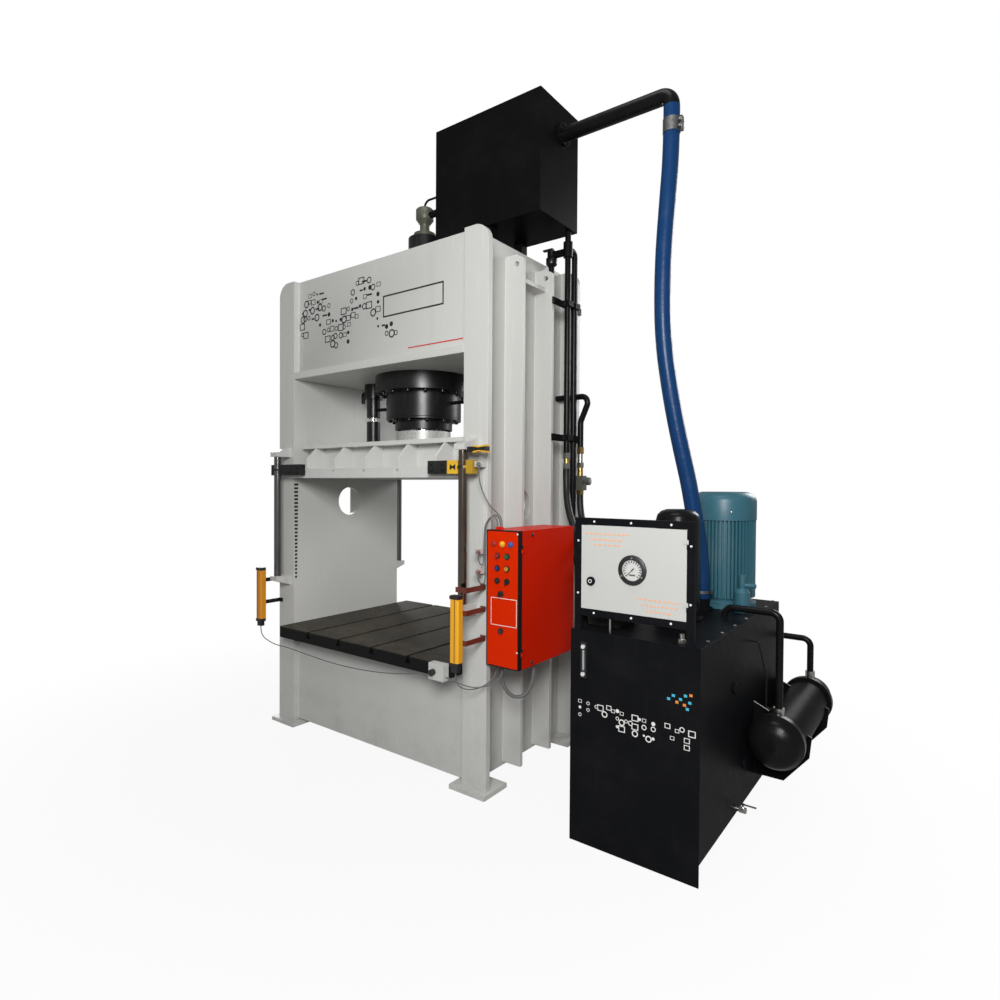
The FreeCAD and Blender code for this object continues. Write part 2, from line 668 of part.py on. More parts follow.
# ---- control box -----------------------------------------------------------
box_x0 = side_out + BOX_GAP
box_x1 = box_x0 + BOX_WIDTH
box_mid = (box_x0 + box_x1) / 2
box_z1 = BOX_BOTTOM + BOX_HEIGHT
box_back = BOX_FRONT + BOX_DEPTH
door_y1 = BOX_FRONT - DOOR_GAP
door_y0 = door_y1 - DOOR
hinge_x = box_x1 + HINGE_R + 1
hinge_y = BOX_FRONT - DOOR_GAP / 2
HINGE_Z = (BOX_BOTTOM + 90, box_z1 - 90)
HINGE_HALF = 20.0
PIN_R = 3.0
GLAND_TALL = 12.0
TOP_GLANDS = ((925.0, -430.0), (947.0, -420.0), (925.0, -405.0))
LOW_GLANDS = ((925.0, -430.0, 9.0), (965.0, -430.0, 9.0), (930.0, -395.0, 13.0), (1060.0, -290.0, 13.0))


def case_hinge(z):
    """Leaf on the case's side with the lower knuckle and the pin standing on it."""
    leaf = mm_box(box_x1, box_x1 + 3, BOX_FRONT + 8, BOX_FRONT + 38, z - HINGE_HALF, z + HINGE_HALF)
    bridge = mm_box(box_x1, hinge_x, hinge_y + 2, BOX_FRONT + 8, z - HINGE_HALF, z - FACE_GAP)
    knuckle = rod(HINGE_R, HINGE_HALF - FACE_GAP, hinge_x, hinge_y, z - HINGE_HALF)
    pin = rod(PIN_R, HINGE_HALF, hinge_x, hinge_y, z - FACE_GAP)
    return fuse(leaf, bridge, knuckle, pin)


def door_hinge(z):
    """Upper knuckle with the bar that carries the door."""
    h = HINGE_HALF - FACE_GAP
    ring = rod(HINGE_R, h, hinge_x, hinge_y, z + FACE_GAP)
    bar = mm_box(box_x1 - 4, hinge_x, hinge_y - HINGE_R, hinge_y - HINGE_R + 1.6, z + FACE_GAP,
                 z + FACE_GAP + h)
    return fuse(ring, bar).cut(rod(PIN_R + RUN_GAP, h + 2, hinge_x, hinge_y, z))


def control_box():
    case = mm_box(box_x0, box_x1, BOX_FRONT, box_back, BOX_BOTTOM, box_z1)
    case = case.cut(mm_box(box_x0 + SHEET, box_x1 - SHEET, BOX_FRONT - 1, box_back - SHEET,
                           BOX_BOTTOM + SHEET, box_z1 - SHEET))
    pads = [mm_box(side_out, box_x0, BOX_FRONT, front + FLANGE, BOX_BOTTOM + 20, box_z1 - 20),
            mm_box(side_out, box_x0, rib_y[0] - RIB / 2, rib_y[0] + RIB / 2, BOX_BOTTOM + 20, box_z1 - 20)]
    glands = [rod(8, GLAND_TALL, x, y, box_z1) for x, y in TOP_GLANDS]
    glands += [rod(r, GLAND_TALL, x, y, BOX_BOTTOM - GLAND_TALL) for x, y, r in LOW_GLANDS]
    return fuse(case, *(pads + glands))


save("control_box", control_box(), *[case_hinge(z) for z in HINGE_Z])

LAMP_X = (box_mid - 51, box_mid, box_mid + 51)
LAMP_Z = 1309.0
BUTTONS = (("red", box_mid - 30, 1249.0), ("green", box_mid + 30, 1249.0),
           ("blue", box_mid - 30, 1187.0), ("yellow", box_mid + 30, 1187.0),
           ("black", box_mid - 30, 1124.0))
SELECTOR = (box_mid + 30, 1124.0)
KEY = (box_mid - 7, 1060.0)
DOOR_LOCK = (box_mid - 7, 873.0)
hole_r = BUTTON_R + FACE_GAP


def control_door():
    """Shallow folded door with a raised ring round each control and two knuckles."""
    door = mm_box(box_x0, box_x1, door_y0, door_y1, BOX_BOTTOM, box_z1)
    door = door.cut(mm_box(box_x0 + SHEET, box_x1 - SHEET, door_y0 + SHEET, door_y1 + 1,
                           BOX_BOTTOM + SHEET, box_z1 - SHEET))
    places = [(x, z) for _, x, z in BUTTONS] + [SELECTOR, KEY, DOOR_LOCK]
    rings = [rod(BEZEL_R, BEZEL, x, door_y0 - BEZEL, z, AY) for x, z in places]
    door = fuse(door, *(rings + [door_hinge(z) for z in HINGE_Z]))
    for x, z in places:
        door = door.cut(rod(hole_r, BEZEL + SHEET + 2, x, door_y0 - BEZEL - 1, z, AY))
    return door


lamps = []
for x in LAMP_X:
    lamps.append(turned([(0, -SHEET), (LAMP_R, -SHEET), (LAMP_R, 0), (BEZEL_R, 0), (BEZEL_R, 6),
                         (LAMP_R, 7), (LAMP_R - 3, 13), (0, 15)], x, door_y0, LAMP_Z, -AY))
door_holes = [rod(LAMP_R, SHEET + 2, x, door_y0 - 1, LAMP_Z, AY) for x in LAMP_X]
save("control_door", control_door().cut(Part.makeCompound(door_holes)))
save("pilot_lamps", *lamps)


def plunger(x, z):
    """Push button: round cap in its ring, with a short stem behind."""
    return turned([(0, -12), (4, -12), (4, -SHEET - 1), (BUTTON_R, -SHEET - 1),
                   (BUTTON_R, BUTTON_OUT), (0, BUTTON_OUT)], x, door_y0, z, -AY)


for colour, x, z in BUTTONS:
    save("push_button_" + colour, plunger(x, z))


def turn_knob(x, z, length, width, height):
    """Round rotor in its ring with a raised grip across it."""
    rotor = rod(BUTTON_R, BEZEL + SHEET + 6, x, door_y0 - BEZEL - 2, z, AY)
    grip = mm_box(x - width / 2, x + width / 2, door_y0 - BEZEL - 2 - height, door_y0 - BEZEL - 2,
                  z - length / 2, z + length / 2)
    return fuse(rotor, grip)


save("selector_switch", turn_knob(*SELECTOR, 26, 8, 12))
save("key_switch", turn_knob(*KEY, 18, 3, 22))
save("door_lock", turn_knob(*DOOR_LOCK, 14, 4, 3))

# ---- what stands inside the control box ------------------------------------
gear_x = box_x0 + SHEET
gear = [mm_box(gear_x, gear_x + 3, BOX_FRONT + 40, box_back - 30, BOX_BOTTOM + 25, box_z1 - 25)]
GEAR_ROWS = ((1240.0, 85.0, 95.0, 6, 48.0), (1060.0, 75.0, 80.0, 6, 44.0), (900.0, 60.0, 70.0, 8, 30.0),
             (760.0, 45.0, 50.0, 1, 380.0))         # height, tall, deep, count, wide
for z, tall, deep, count, wide in GEAR_ROWS:
    for i in range(count):
        y = BOX_FRONT + 70 + i * (wide + 10)
        gear.append(mm_box(gear_x + 3, gear_x + deep, y, y + wide, z, z + tall))
save("control_gear", *gear)

# ---- overhead tank and its return pipe -------------------------------------
tank = mm_box(TANK_LEFT, TANK_RIGHT, TANK_FRONT, TANK_BACK, tank_bottom, tank_top)
tank = tank.cut(mm_box(TANK_LEFT + TANK_WALL, TANK_RIGHT - TANK_WALL, TANK_FRONT + TANK_WALL,
                       TANK_BACK - TANK_WALL, tank_bottom + TANK_WALL, tank_top - TANK_WALL))
legs = [mm_box(x, x + LEG, y, y + LEG, PRESS_HEIGHT, tank_bottom)
        for x in LEG_X for y in (TANK_FRONT + LEG_INSET, TANK_BACK - LEG_INSET - LEG)]
save("top_tank", tank, *legs)


def elbow_pipe(points, radius, bend):
    """Rigid pipe with one bend radius at every corner."""
    pts = [V(*p) for p in points]
    edges = []
    start = pts[0]
    for before, corner, after in zip(pts, pts[1:], pts[2:]):
        into = (corner - before).normalize()
        out = (after - corner).normalize()
        turn = into.getAngle(out)
        setback = bend * math.tan(turn / 2)
        middle = corner + (out - into).normalize() * (bend / math.cos(turn / 2) - bend)
        arc_in, arc_out = corner - into * setback, corner + out * setback
        edges.append(Part.LineSegment(start, arc_in).toShape())
        edges.append(Part.Arc(arc_in, middle, arc_out).toShape())
        start = arc_out
    edges.append(Part.LineSegment(start, pts[-1]).toShape())
    ring = Part.Wire(Part.makeCircle(radius, pts[0], (pts[1] - pts[0]).normalize()))
    return Part.Wire(edges).makePipeShell([ring], True, False)


RETURN_FLANGE = 18.0
RETURN_FLANGE_R = 62.0
RETURN_BEND = 60.0
hose_top = return_z - ELBOW_R + 21
flange_disc = rod(RETURN_FLANGE_R, RETURN_FLANGE, TANK_RIGHT, RETURN_Y, return_z, AX)
return_line = elbow_pipe([(TANK_RIGHT + RETURN_FLANGE, RETURN_Y, return_z), (ELBOW_X, RETURN_Y, return_z),
                          (ELBOW_X, RETURN_Y, hose_top)], RETURN_R, RETURN_BEND)
save("return_pipe", fuse(flange_disc, return_line))

# ---- drop pipes, stop valve, bent pipe, valve block ------------------------
a_y, b_y = DROP_Y
WEB_PORT_Z = 2150.0
BENT_X, BENT_Y = 944.0, 394.0
BENT_REACH = 68.0
BENT_TURN_Z = 1995.0
BENT_LOW = 1840.0
PIPE_BEND = 30.0
tee_low = drop_top - TEE
tee = fuse(rod(TEE_R, TEE, DROP_X, a_y, tee_low), rod(DROP_R, tank_bottom - drop_top, DROP_X, a_y, drop_top),
           rod(BRANCH_R, DROP_X - STOP_X - BRANCH_R, STOP_X + BRANCH_R, a_y, stop_z, AX))
rigid = [rod(DROP_R, tee_low - DROP_LOW[0], DROP_X, a_y, DROP_LOW[0]), tee,
         elbow_pipe([(DROP_X, a_y + TEE_R, drop_top - 40), (DROP_X, b_y, drop_top - 40),
                     (DROP_X, b_y, DROP_LOW[1])], DROP_R, PIPE_BEND),
         elbow_pipe([(STOP_X, a_y, PRESS_HEIGHT - 10), (STOP_X, a_y, stop_low), (web_out, a_y, stop_low)],
                    DROP_R, DROP_R + 2)]
rigid.append(elbow_pipe([(web_out, BENT_Y, WEB_PORT_Z), (BENT_X + BENT_REACH, BENT_Y, WEB_PORT_Z),
                         (BENT_X, BENT_Y, BENT_TURN_Z), (BENT_X, BENT_Y, BENT_LOW)], DROP_R, 40))
rigid.append(elbow_pipe([(0, 0, valve_top), (0, 0, valve_top + 50), (TANK_LEFT, 0, valve_top + 50)], 7, 40))
prefill_z = valve_top - 50
fill = rod(22, TANK_LEFT, 0, 0, prefill_z, AX).cut(prefill)
rigid.append(fill)
for side in (-1, 1):
    link = rod(11, PULL_X, 0, 0, PULL_LINK_Z, AX)
    link = link if side > 0 else mirror_x(link)
    post = rod(PULL_R, PULL_HEAD_R * 2, side * PULL_X, 0, PULL_LINK_Z - PULL_HEAD_R)
    rigid.append(link.cut(rod(BARREL_R, 400, 0, 0, BARREL_BOTTOM)).cut(post))
    riser = elbow_pipe([(side * (PULL_X + PULL_HEAD_R), 0, PULL_HEAD_BOTTOM + 50),
                        (side * (PULL_X + PULL_HEAD_R + 45), 0, PULL_HEAD_BOTTOM + 50),
                        (side * (PULL_X + PULL_HEAD_R + 45), 0, PULL_HEAD_BOTTOM - 20)], 13, 18)
    rigid.append(riser)

# ---- power pack tank -------------------------------------------------------
lid_z = PACK_TOP - PACK_LID


def pack_tank():
    """Welded tank, open on top, on a front and a rear plate that reach the floor."""
    w = PACK_WALL
    body = mm_box(PACK_LEFT, PACK_RIGHT, PACK_FRONT, PACK_BACK, PACK_BOTTOM, lid_z)
    body = body.cut(mm_box(PACK_LEFT + w, PACK_RIGHT - w, PACK_FRONT + w, PACK_BACK - w,
                           PACK_BOTTOM + w, lid_z + 1))
    skirt = mm_box(PACK_LEFT, PACK_RIGHT, PACK_FRONT, PACK_FRONT + w, 0, PACK_BOTTOM)
    rear = mm_box(PACK_LEFT, PACK_RIGHT, PACK_BACK - w, PACK_BACK, 0, PACK_BOTTOM)
    return fuse(body, skirt, rear)


plugs = [rod(PLUG_R, 12, PACK_RIGHT, y, z, AX) for y, z in PLUGS]
save("pack_tank", pack_tank(), *plugs)
BELL_R = 60.0
hose_foot = PACK_TOP + SPIGOT
cover = mm_box(PACK_LEFT, PACK_RIGHT, PACK_FRONT, PACK_BACK, lid_z, PACK_TOP)
cover = cover.cut(rod(BELL_R, PACK_LID + 2, MOTOR_X, MOTOR_Y, lid_z - 1))
spigot = fuse(rod(SPIGOT_R, 14, SPIGOT_X, SPIGOT_Y, PACK_TOP),
              rod(RETURN_R, SPIGOT, SPIGOT_X, SPIGOT_Y, PACK_TOP))
save("tank_cover", cover, spigot)

# ---- instrument panel ------------------------------------------------------
panel_back = PACK_FRONT + PANEL_DEPTH
open_x0, open_x1 = PANEL_LEFT + PANEL_BORDER, PANEL_RIGHT - PANEL_BORDER
open_z1 = PANEL_TOP - PANEL_BORDER
ring_z0 = PANEL_SILL - PANEL_BORDER
PANEL_SHEET = 5.0
KNUCKLE_R = 4.0
KNUCKLE_PIN = 2.0
p_hinge_x = open_x1 + KNUCKLE_R
p_hinge_y = PACK_FRONT - KNUCKLE_R
P_HINGE_Z = (PANEL_SILL + 60, open_z1 - 60)
P_HINGE_HALF = 18.0


def panel_frame():
    """Shallow tray open at the back, with a window for the door, on two posts."""
    s = PANEL_SHEET
    body = mm_box(PANEL_LEFT, PANEL_RIGHT, PACK_FRONT, panel_back, ring_z0, PANEL_TOP)
    body = body.cut(mm_box(PANEL_LEFT + s, PANEL_RIGHT - s, PACK_FRONT + s, panel_back + 1,
                           ring_z0 + s, PANEL_TOP - s))
    body = body.cut(mm_box(open_x0, open_x1, PACK_FRONT - 1, PACK_FRONT + s + 1, PANEL_SILL, open_z1))
    posts = [mm_box(x, x + PANEL_BORDER, PACK_FRONT, panel_back, PACK_TOP, ring_z0)
             for x in (PANEL_LEFT, PANEL_RIGHT - PANEL_BORDER)]
    hinges = []
    for z in P_HINGE_Z:
        h = P_HINGE_HALF
        hinges.append(rod(KNUCKLE_R, h - FACE_GAP, p_hinge_x, p_hinge_y, z - h))
        hinges.append(rod(KNUCKLE_PIN, h, p_hinge_x, p_hinge_y, z - FACE_GAP))
        hinges.append(mm_box(p_hinge_x, p_hinge_x + 16, PACK_FRONT - 2, PACK_FRONT, z - h, z - FACE_GAP))
    return fuse(body, *(posts + hinges))


save("panel_frame", panel_frame())
lock_y = PACK_FRONT
LOCK_R = 19.0
LOCK_STEM_R = 8.0


def panel_door():
    door = mm_box(open_x0 + 1, open_x1 - 1, PACK_FRONT, PACK_FRONT + PANEL_DOOR, PANEL_SILL + 1, open_z1 - 1)
    door = door.cut(rod(GAUGE_R, PANEL_DOOR + 2, GAUGE_X, PACK_FRONT - 1, GAUGE_Z, AY))
    door = door.cut(rod(LOCK_STEM_R + RUN_GAP, PANEL_DOOR + 2, LOCK_X, PACK_FRONT - 1, LOCK_Z, AY))
    for z in P_HINGE_Z:
        h = P_HINGE_HALF - FACE_GAP
        knuckle = rod(KNUCKLE_R, h, p_hinge_x, p_hinge_y, z + FACE_GAP)
        leaf = mm_box(p_hinge_x - 24, p_hinge_x, PACK_FRONT - 1.8, PACK_FRONT, z + FACE_GAP,
                      z + FACE_GAP + h)
        part = fuse(knuckle, leaf).cut(rod(KNUCKLE_PIN + RUN_GAP, h + 2, p_hinge_x, p_hinge_y, z))
        door = fuse(door, part)
    return door


save("panel_door", panel_door())
NEEDLE_R = 2.5
gauge = turned([(NEEDLE_R + RUN_GAP, 3), (GAUGE_R - 4, 3), (GAUGE_R - 4, 9), (GAUGE_FLANGE_R - 6, 9),
                (GAUGE_FLANGE_R, 5), (GAUGE_FLANGE_R, 0), (GAUGE_R, 0), (GAUGE_R, -42), (0, -42),
                (0, -8), (NEEDLE_R + RUN_GAP, -8)], GAUGE_X, PACK_FRONT, GAUGE_Z, -AY)
save("pressure_gauge", gauge)


def gauge_needle():
    """Pointer at the dial's zero, lower left, on its short arbor."""
    hub = rod(NEEDLE_R, 12, GAUGE_X, PACK_FRONT - 6, GAUGE_Z, AY)
    y = PACK_FRONT - 6
    pointer = plate([(GAUGE_X - 2, y, GAUGE_Z - 12), (GAUGE_X + 2, y, GAUGE_Z - 12),
                     (GAUGE_X + 0.6, y, GAUGE_Z + 38), (GAUGE_X - 0.6, y, GAUGE_Z + 38)], 1.5, AY)
    pointer.rotate(V(GAUGE_X, 0, GAUGE_Z), AY, -135)
    return fuse(hub, pointer)


save("gauge_needle", gauge_needle())
knob = turned([(0, -14), (LOCK_STEM_R, -14), (LOCK_STEM_R, 0), (LOCK_R, FACE_GAP), (LOCK_R, 10),
               (LOCK_R - 4, 13), (0, 13)], LOCK_X, lock_y, LOCK_Z, -AY)
cam = mm_box(LOCK_X - 8, LOCK_X + 8, lock_y + 11, lock_y + 14, LOCK_Z - 60, LOCK_Z + 10)
save("panel_lock", fuse(knob, cam))

# ---- on the tank -----------------------------------------------------------
filter_body = turned([(0, PACK_TOP), (FILTER_R + 16, PACK_TOP), (FILTER_R + 16, PACK_TOP + 14),
                      (FILTER_R, PACK_TOP + 14), (FILTER_R, FILTER_TOP - 52), (FILTER_R - 7, FILTER_TOP - 26),
                      (FILTER_R - 24, FILTER_TOP - 9), (FILTER_R - 48, FILTER_TOP), (0, FILTER_TOP)],
                     FILTER_X, FILTER_Y)
level = mm_box(LEVEL_X - 14, LEVEL_X + 14, PACK_FRONT - 18, PACK_FRONT, LEVEL_Z[0] - 18, LEVEL_Z[1] + 18)
level = fuse(level, *[hexagon(17, 8, LEVEL_X, PACK_FRONT - 26, z, AY) for z in LEVEL_Z])
save("level_gauge", level)

breather = turned([(0, PACK_TOP), (46, PACK_TOP), (46, PACK_TOP + 8), (26, PACK_TOP + 8),
                   (26, PACK_TOP + 40), (38, PACK_TOP + 40), (38, PACK_TOP + 85), (0, PACK_TOP + 92)],
                  BREATHER_X, BREATHER_Y)
save("tank_filters", filter_body, breather)

# ---- motor, pump -----------------------------------------------------------
SHAFT_R = 19.0
CORE_R = 62.0
STATOR_R = 64.0
FAN_R = 120.0


def motor_frame():
    """Finned frame on a round foot flange, bored for the rotor, with a bearing at each end."""
    outline = []
    for i in range(MOTOR_FINS):
        step = 2 * math.pi / MOTOR_FINS
        for angle, r in ((0.0, MOTOR_R), (0.36, MOTOR_R), (0.45, MOTOR_R + MOTOR_FIN),
                         (0.91, MOTOR_R + MOTOR_FIN)):
            a = (i + angle) * step
            outline.append((MOTOR_X + r * math.cos(a), MOTOR_Y + r * math.sin(a), MOTOR_FOOT + 30))
    fin_top = COWL_BOTTOM + COWL_LAP
    body = plate(outline, fin_top - MOTOR_FOOT - 30, AZ)
    lower = turned([(0, PACK_TOP), (MOTOR_R + 22, PACK_TOP), (MOTOR_R + 22, MOTOR_FOOT),
                    (MOTOR_R - 8, MOTOR_FOOT), (MOTOR_R - 8, MOTOR_FOOT + 30), (0, MOTOR_FOOT + 30)],
                   MOTOR_X, MOTOR_Y)
    body = fuse(body, lower)
    body = body.cut(rod(SHAFT_R + RUN_GAP, 700, MOTOR_X, MOTOR_Y, PACK_TOP - 1))
    return body.cut(rod(STATOR_R, CAVITY_Z[1] - CAVITY_Z[0], MOTOR_X, MOTOR_Y, CAVITY_Z[0]))


cowl_in = MOTOR_R + MOTOR_FIN + FACE_GAP
cowl_out = cowl_in + COWL_WALL
COWL_CURVE = ((0.0, 50.0), (6.0, 28.0), (22.0, 12.0), (50.0, 0.0))      # inward, below the top
outside = [(cowl_out - inward, MOTOR_TOP - down) for inward, down in COWL_CURVE]
inside = [(cowl_in - inward, MOTOR_TOP - COWL_WALL - down) for inward, down in COWL_CURVE]
cowl = turned([(cowl_in, COWL_BOTTOM), (cowl_out, COWL_BOTTOM)] + outside
              + [(0, MOTOR_TOP), (0, MOTOR_TOP - COWL_WALL)] + inside[::-1], MOTOR_X, MOTOR_Y)
COWL_SLOTS = 8
COWL_PITCH = 26.0
for i in range(COWL_SLOTS):
    y = (i - (COWL_SLOTS - 1) / 2) * COWL_PITCH
    half = math.sqrt((cowl_in - 52) ** 2 - y ** 2)
    slot = mm_box(MOTOR_X - half, MOTOR_X + half, MOTOR_Y + y - 5, MOTOR_Y + y + 5,
                  MOTOR_TOP - COWL_WALL - 1, MOTOR_TOP + 1)
    cowl = cowl.cut(slot)
save("motor_cowl", cowl)


fan_z = COWL_BOTTOM + COWL_LAP + 14


def motor_rotor():
    """Shaft with core, fan and the coupling half at its lower end."""
    shaft = rod(SHAFT_R, SHAFT_TOP - SHAFT_LOW, MOTOR_X, MOTOR_Y, SHAFT_LOW)
    core = rod(CORE_R, CORE_Z[1] - CORE_Z[0], MOTOR_X, MOTOR_Y, CORE_Z[0])
    coupling = rod(38, 50, MOTOR_X, MOTOR_Y, SHAFT_LOW)
    hub = rod(34, 50, MOTOR_X, MOTOR_Y, fan_z)
    blades = []
    for i in range(6):
        blade = mm_box(MOTOR_X + 20, MOTOR_X + FAN_R, MOTOR_Y - 2, MOTOR_Y + 2, fan_z,
                       fan_z + 50)
        blade.rotate(V(MOTOR_X, MOTOR_Y, 0), AZ, 60 * i)
        blades.append(blade)
    return fuse(shaft, core, coupling, hub, *blades)


save("motor_rotor", motor_rotor())
terminal = fuse(mm_box(-75, 75, MOTOR_R + 4, MOTOR_R + 72, -75, 75),
                mm_box(-82, 82, MOTOR_R + 72, MOTOR_R + 80, -82, 82),
                mm_box(-40, 40, MOTOR_R - 14, MOTOR_R + 4, -40, 40))
terminal.rotate(ORIGIN, AZ, TERMINAL_TURN - 90)
terminal.translate(V(MOTOR_X, MOTOR_Y, TERMINAL_Z))
frame_solid = motor_frame()
save("motor_frame", frame_solid, terminal.cut(frame_solid))

bell = turned([(BELL_R - 12, BELL_Z[0]), (BELL_R, BELL_Z[0]), (BELL_R, BELL_Z[1]), (BELL_R + 20, BELL_Z[1]),
               (BELL_R + 20, lid_z), (BELL_R - 12, lid_z)], MOTOR_X, MOTOR_Y)
pump = turned([(0, PUMP_Z[0]), (66, PUMP_Z[0]), (66, PUMP_Z[1]), (BELL_R + 14, PUMP_Z[1]),
               (BELL_R + 14, BELL_Z[0]), (0, BELL_Z[0])], MOTOR_X, MOTOR_Y)
suction = turned([(0, STRAINER_Z[0]), (58, STRAINER_Z[0]), (58, STRAINER_Z[1]), (20, STRAINER_Z[1]),
                  (20, PUMP_Z[0]), (0, PUMP_Z[0])], MOTOR_X, MOTOR_Y)
save("pump_unit", bell, pump, suction)

# ---- manifold behind the panel ---------------------------------------------
MANIFOLD_LEFT, MANIFOLD_RIGHT = 1425.0, 1592.0
MANIFOLD_FRONT, MANIFOLD_BACK = -405.0, -230.0
MANIFOLD_TOP = 1061.0
PORT_X = (1451.0, 1503.0, 1555.0)
PORT_LEVEL = 1004.0
HOSE_UNION = 24.0
block = mm_box(MANIFOLD_LEFT, MANIFOLD_RIGHT, MANIFOLD_FRONT, MANIFOLD_BACK, PACK_TOP, MANIFOLD_TOP)
solenoids = []
for x in PORT_X:
    solenoids.append(mm_box(x - 23, x + 23, MANIFOLD_FRONT + 12, MANIFOLD_BACK - 12, MANIFOLD_TOP,
                            MANIFOLD_TOP + 52))
    solenoids.append(mm_box(x - 20, x + 20, MANIFOLD_FRONT + 20, MANIFOLD_FRONT + 70, MANIFOLD_TOP + 52,
                            MANIFOLD_TOP + 96))
save("control_manifold", block, *solenoids)

# ---- valve block at the end of the bent pipe -------------------------------
VB = (914.0, 974.0, 366.0, 422.0, 1575.0, 1665.0)
valve_block = mm_box(*VB)
side_knob = turned([(0, 0), (13, 0), (13, 14), (24, 18), (24, 36), (0, 40)], VB[1], BENT_Y, VB[4] + 56, AX)

# ---- unions and plugs ------------------------------------------------------
UNION = 46.0
STEM_R = 15.0
HYD_R = 20.0
fittings = [fuse(hexagon(UNION, 34, DROP_X, a_y, DROP_LOW[0] - 34),
                 rod(STEM_R, 30, DROP_X, a_y, DROP_LOW[0] - 64),
                 hexagon(UNION - 4, 30, DROP_X, a_y, DROP_LOW[0] - 94)),
            hexagon(UNION, 40, DROP_X, b_y, DROP_LOW[1] - 40),
            fuse(hexagon(UNION - 4, 40, BENT_X, BENT_Y, BENT_LOW - 40),
                 rod(STEM_R, 55, BENT_X, BENT_Y, BENT_LOW - 95),
                 hexagon(UNION - 4, 30, BENT_X, BENT_Y, BENT_LOW - 125),
                 rod(STEM_R + 2, 50, BENT_X, BENT_Y, VB[5])),
            hexagon(UNION - 4, 26, BENT_X, BENT_Y, VB[4] - 26)]
for x in PORT_X:
    fittings.append(hexagon(UNION - 2, HOSE_UNION, x, MANIFOLD_BACK, PORT_LEVEL, AY))
line_y = panel_back + 10
fittings.append(fuse(rod(5, 120, GAUGE_LINE_X, line_y, PACK_TOP),
                     rod(9, 26, GAUGE_LINE_X, line_y, PACK_TOP + 120)))
fittings.append(fuse(hexagon(30, 16, COVER_PLUG_X, COVER_PLUG_Y, PACK_TOP),
                     rod(10, 38, COVER_PLUG_X, COVER_PLUG_Y, PACK_TOP)))
fittings.append(fuse(rod(10, 24, PACK_RIGHT, DRAIN_Y, DRAIN_Z, AX),
                     hexagon(26, 30, PACK_RIGHT + 18, DRAIN_Y, DRAIN_Z, AX),
                     rod(5, 14, PACK_RIGHT + 33, DRAIN_Y, DRAIN_Z + 10, AZ)))
BALL_R = 34.0
BALL_EDGE = 13.0
stop_base = PRESS_HEIGHT - 10
stop_body = turned([(0, stop_base), (BALL_R - BALL_EDGE, stop_base), (BALL_R, stop_base + BALL_EDGE),
                    (BALL_R, stop_z - 20), (BRANCH_R + 4, stop_z - 12), (BRANCH_R + 4, stop_z + BRANCH_R + 3),
                    (9, stop_z + BRANCH_R + 3), (9, stop_z + LEVER_RISE), (0, stop_z + LEVER_RISE)],
                   STOP_X, a_y)
stop_body = stop_body.cut(tee)
cover_valve = turned([(0, PACK_TOP), (COVER_VALVE_R, PACK_TOP), (COVER_VALVE_R, COVER_VALVE_TOP - 20),
                      (COVER_VALVE_R - 12, COVER_VALVE_TOP), (COVER_NECK_R, COVER_VALVE_TOP),
                      (COVER_NECK_R, COVER_NECK_TOP), (0, COVER_NECK_TOP)], COVER_VALVE_X, COVER_VALVE_Y)
cover_valve = fuse(cover_valve, rod(11, 67, COVER_VALVE_X, COVER_VALVE_Y, COVER_NECK_TOP - 53, AX))
save("valve_bodies", stop_body, valve_block, side_knob, cover_valve)
drain_x, drain_z = PACK_RIGHT + 33, DRAIN_Z + 24
drain_lever = fuse(mm_box(drain_x - 8, drain_x + 8, DRAIN_Y - 8, DRAIN_Y + 8, drain_z, drain_z + 4),
                   mm_box(drain_x + 8, drain_x + 59, DRAIN_Y - 5, DRAIN_Y + 5, drain_z, drain_z + 4))
save("drain_lever", drain_lever)
lever_z = stop_z + LEVER_RISE
lever = mm_box(STOP_X - LEVER_LONG, STOP_X + LEVER_HALF, a_y - LEVER_HALF, a_y + LEVER_HALF, lever_z,
               lever_z + LEVER)
save("stop_valve_lever", lever)

# ---- oil cooler ------------------------------------------------------------
dome = COOLER_FRONT - 80
tail = COOLER_REAR + COOLER_TAIL
shell = turned([(0, dome), (62, dome + 8), (104, dome + 32), (COOLER_FLANGE_R, dome + 72),
                (COOLER_FLANGE_R, COOLER_FRONT + 24), (COOLER_R, COOLER_FRONT + 24),
                (COOLER_R, COOLER_REAR - 36), (COOLER_FLANGE_R, COOLER_REAR - 36),
                (COOLER_FLANGE_R, COOLER_REAR), (COOLER_R - 6, COOLER_REAR), (COOLER_R - 6, tail - 24),
                (COOLER_R - 44, tail - 6), (0, tail)], COOLER_X, 0, COOLER_Z, AY)
holders = []
for y in COOLER_HOLDERS:
    points = [(PACK_RIGHT, y, COOLER_FOOT), (COOLER_X + 4, y, COOLER_FOOT),
              (COOLER_X + 116, y, COOLER_Z - 100), (COOLER_X + 126, y, COOLER_Z),
              (PACK_RIGHT, y, COOLER_Z + 120)]
    holders.append(plate(points, 10, AY).cut(shell))
save("oil_cooler", shell, *holders)
port_top = COOLER_Z + COOLER_R + 34
boss_low = COOLER_Z + COOLER_R - 40
bosses = [rod(PIPE_R + 8, port_top - boss_low, COOLER_X, y, boss_low).cut(shell) for y in COOLER_PORTS]
fittings += bosses
COOLER_BEND = 42.0
front_y, rear_y = COOLER_PORTS
rigid.append(elbow_pipe([(COOLER_RISER, front_y, PACK_TOP), (COOLER_RISER, front_y, COOLER_OVER),
                         (COOLER_X, front_y, COOLER_OVER), (COOLER_X, front_y, port_top)], PIPE_R,
                        COOLER_BEND))
rigid.append(elbow_pipe([(COOLER_X, rear_y, port_top), (COOLER_X, rear_y, COOLER_RETURN),
                         (COOLER_ENTRY, rear_y, COOLER_RETURN), (COOLER_ENTRY, PACK_BACK, COOLER_RETURN)],
                        PIPE_R, COOLER_BEND))
BLEED_R = 4.0
BLEED_Z = 850.0
BLEED_Y = 190.0
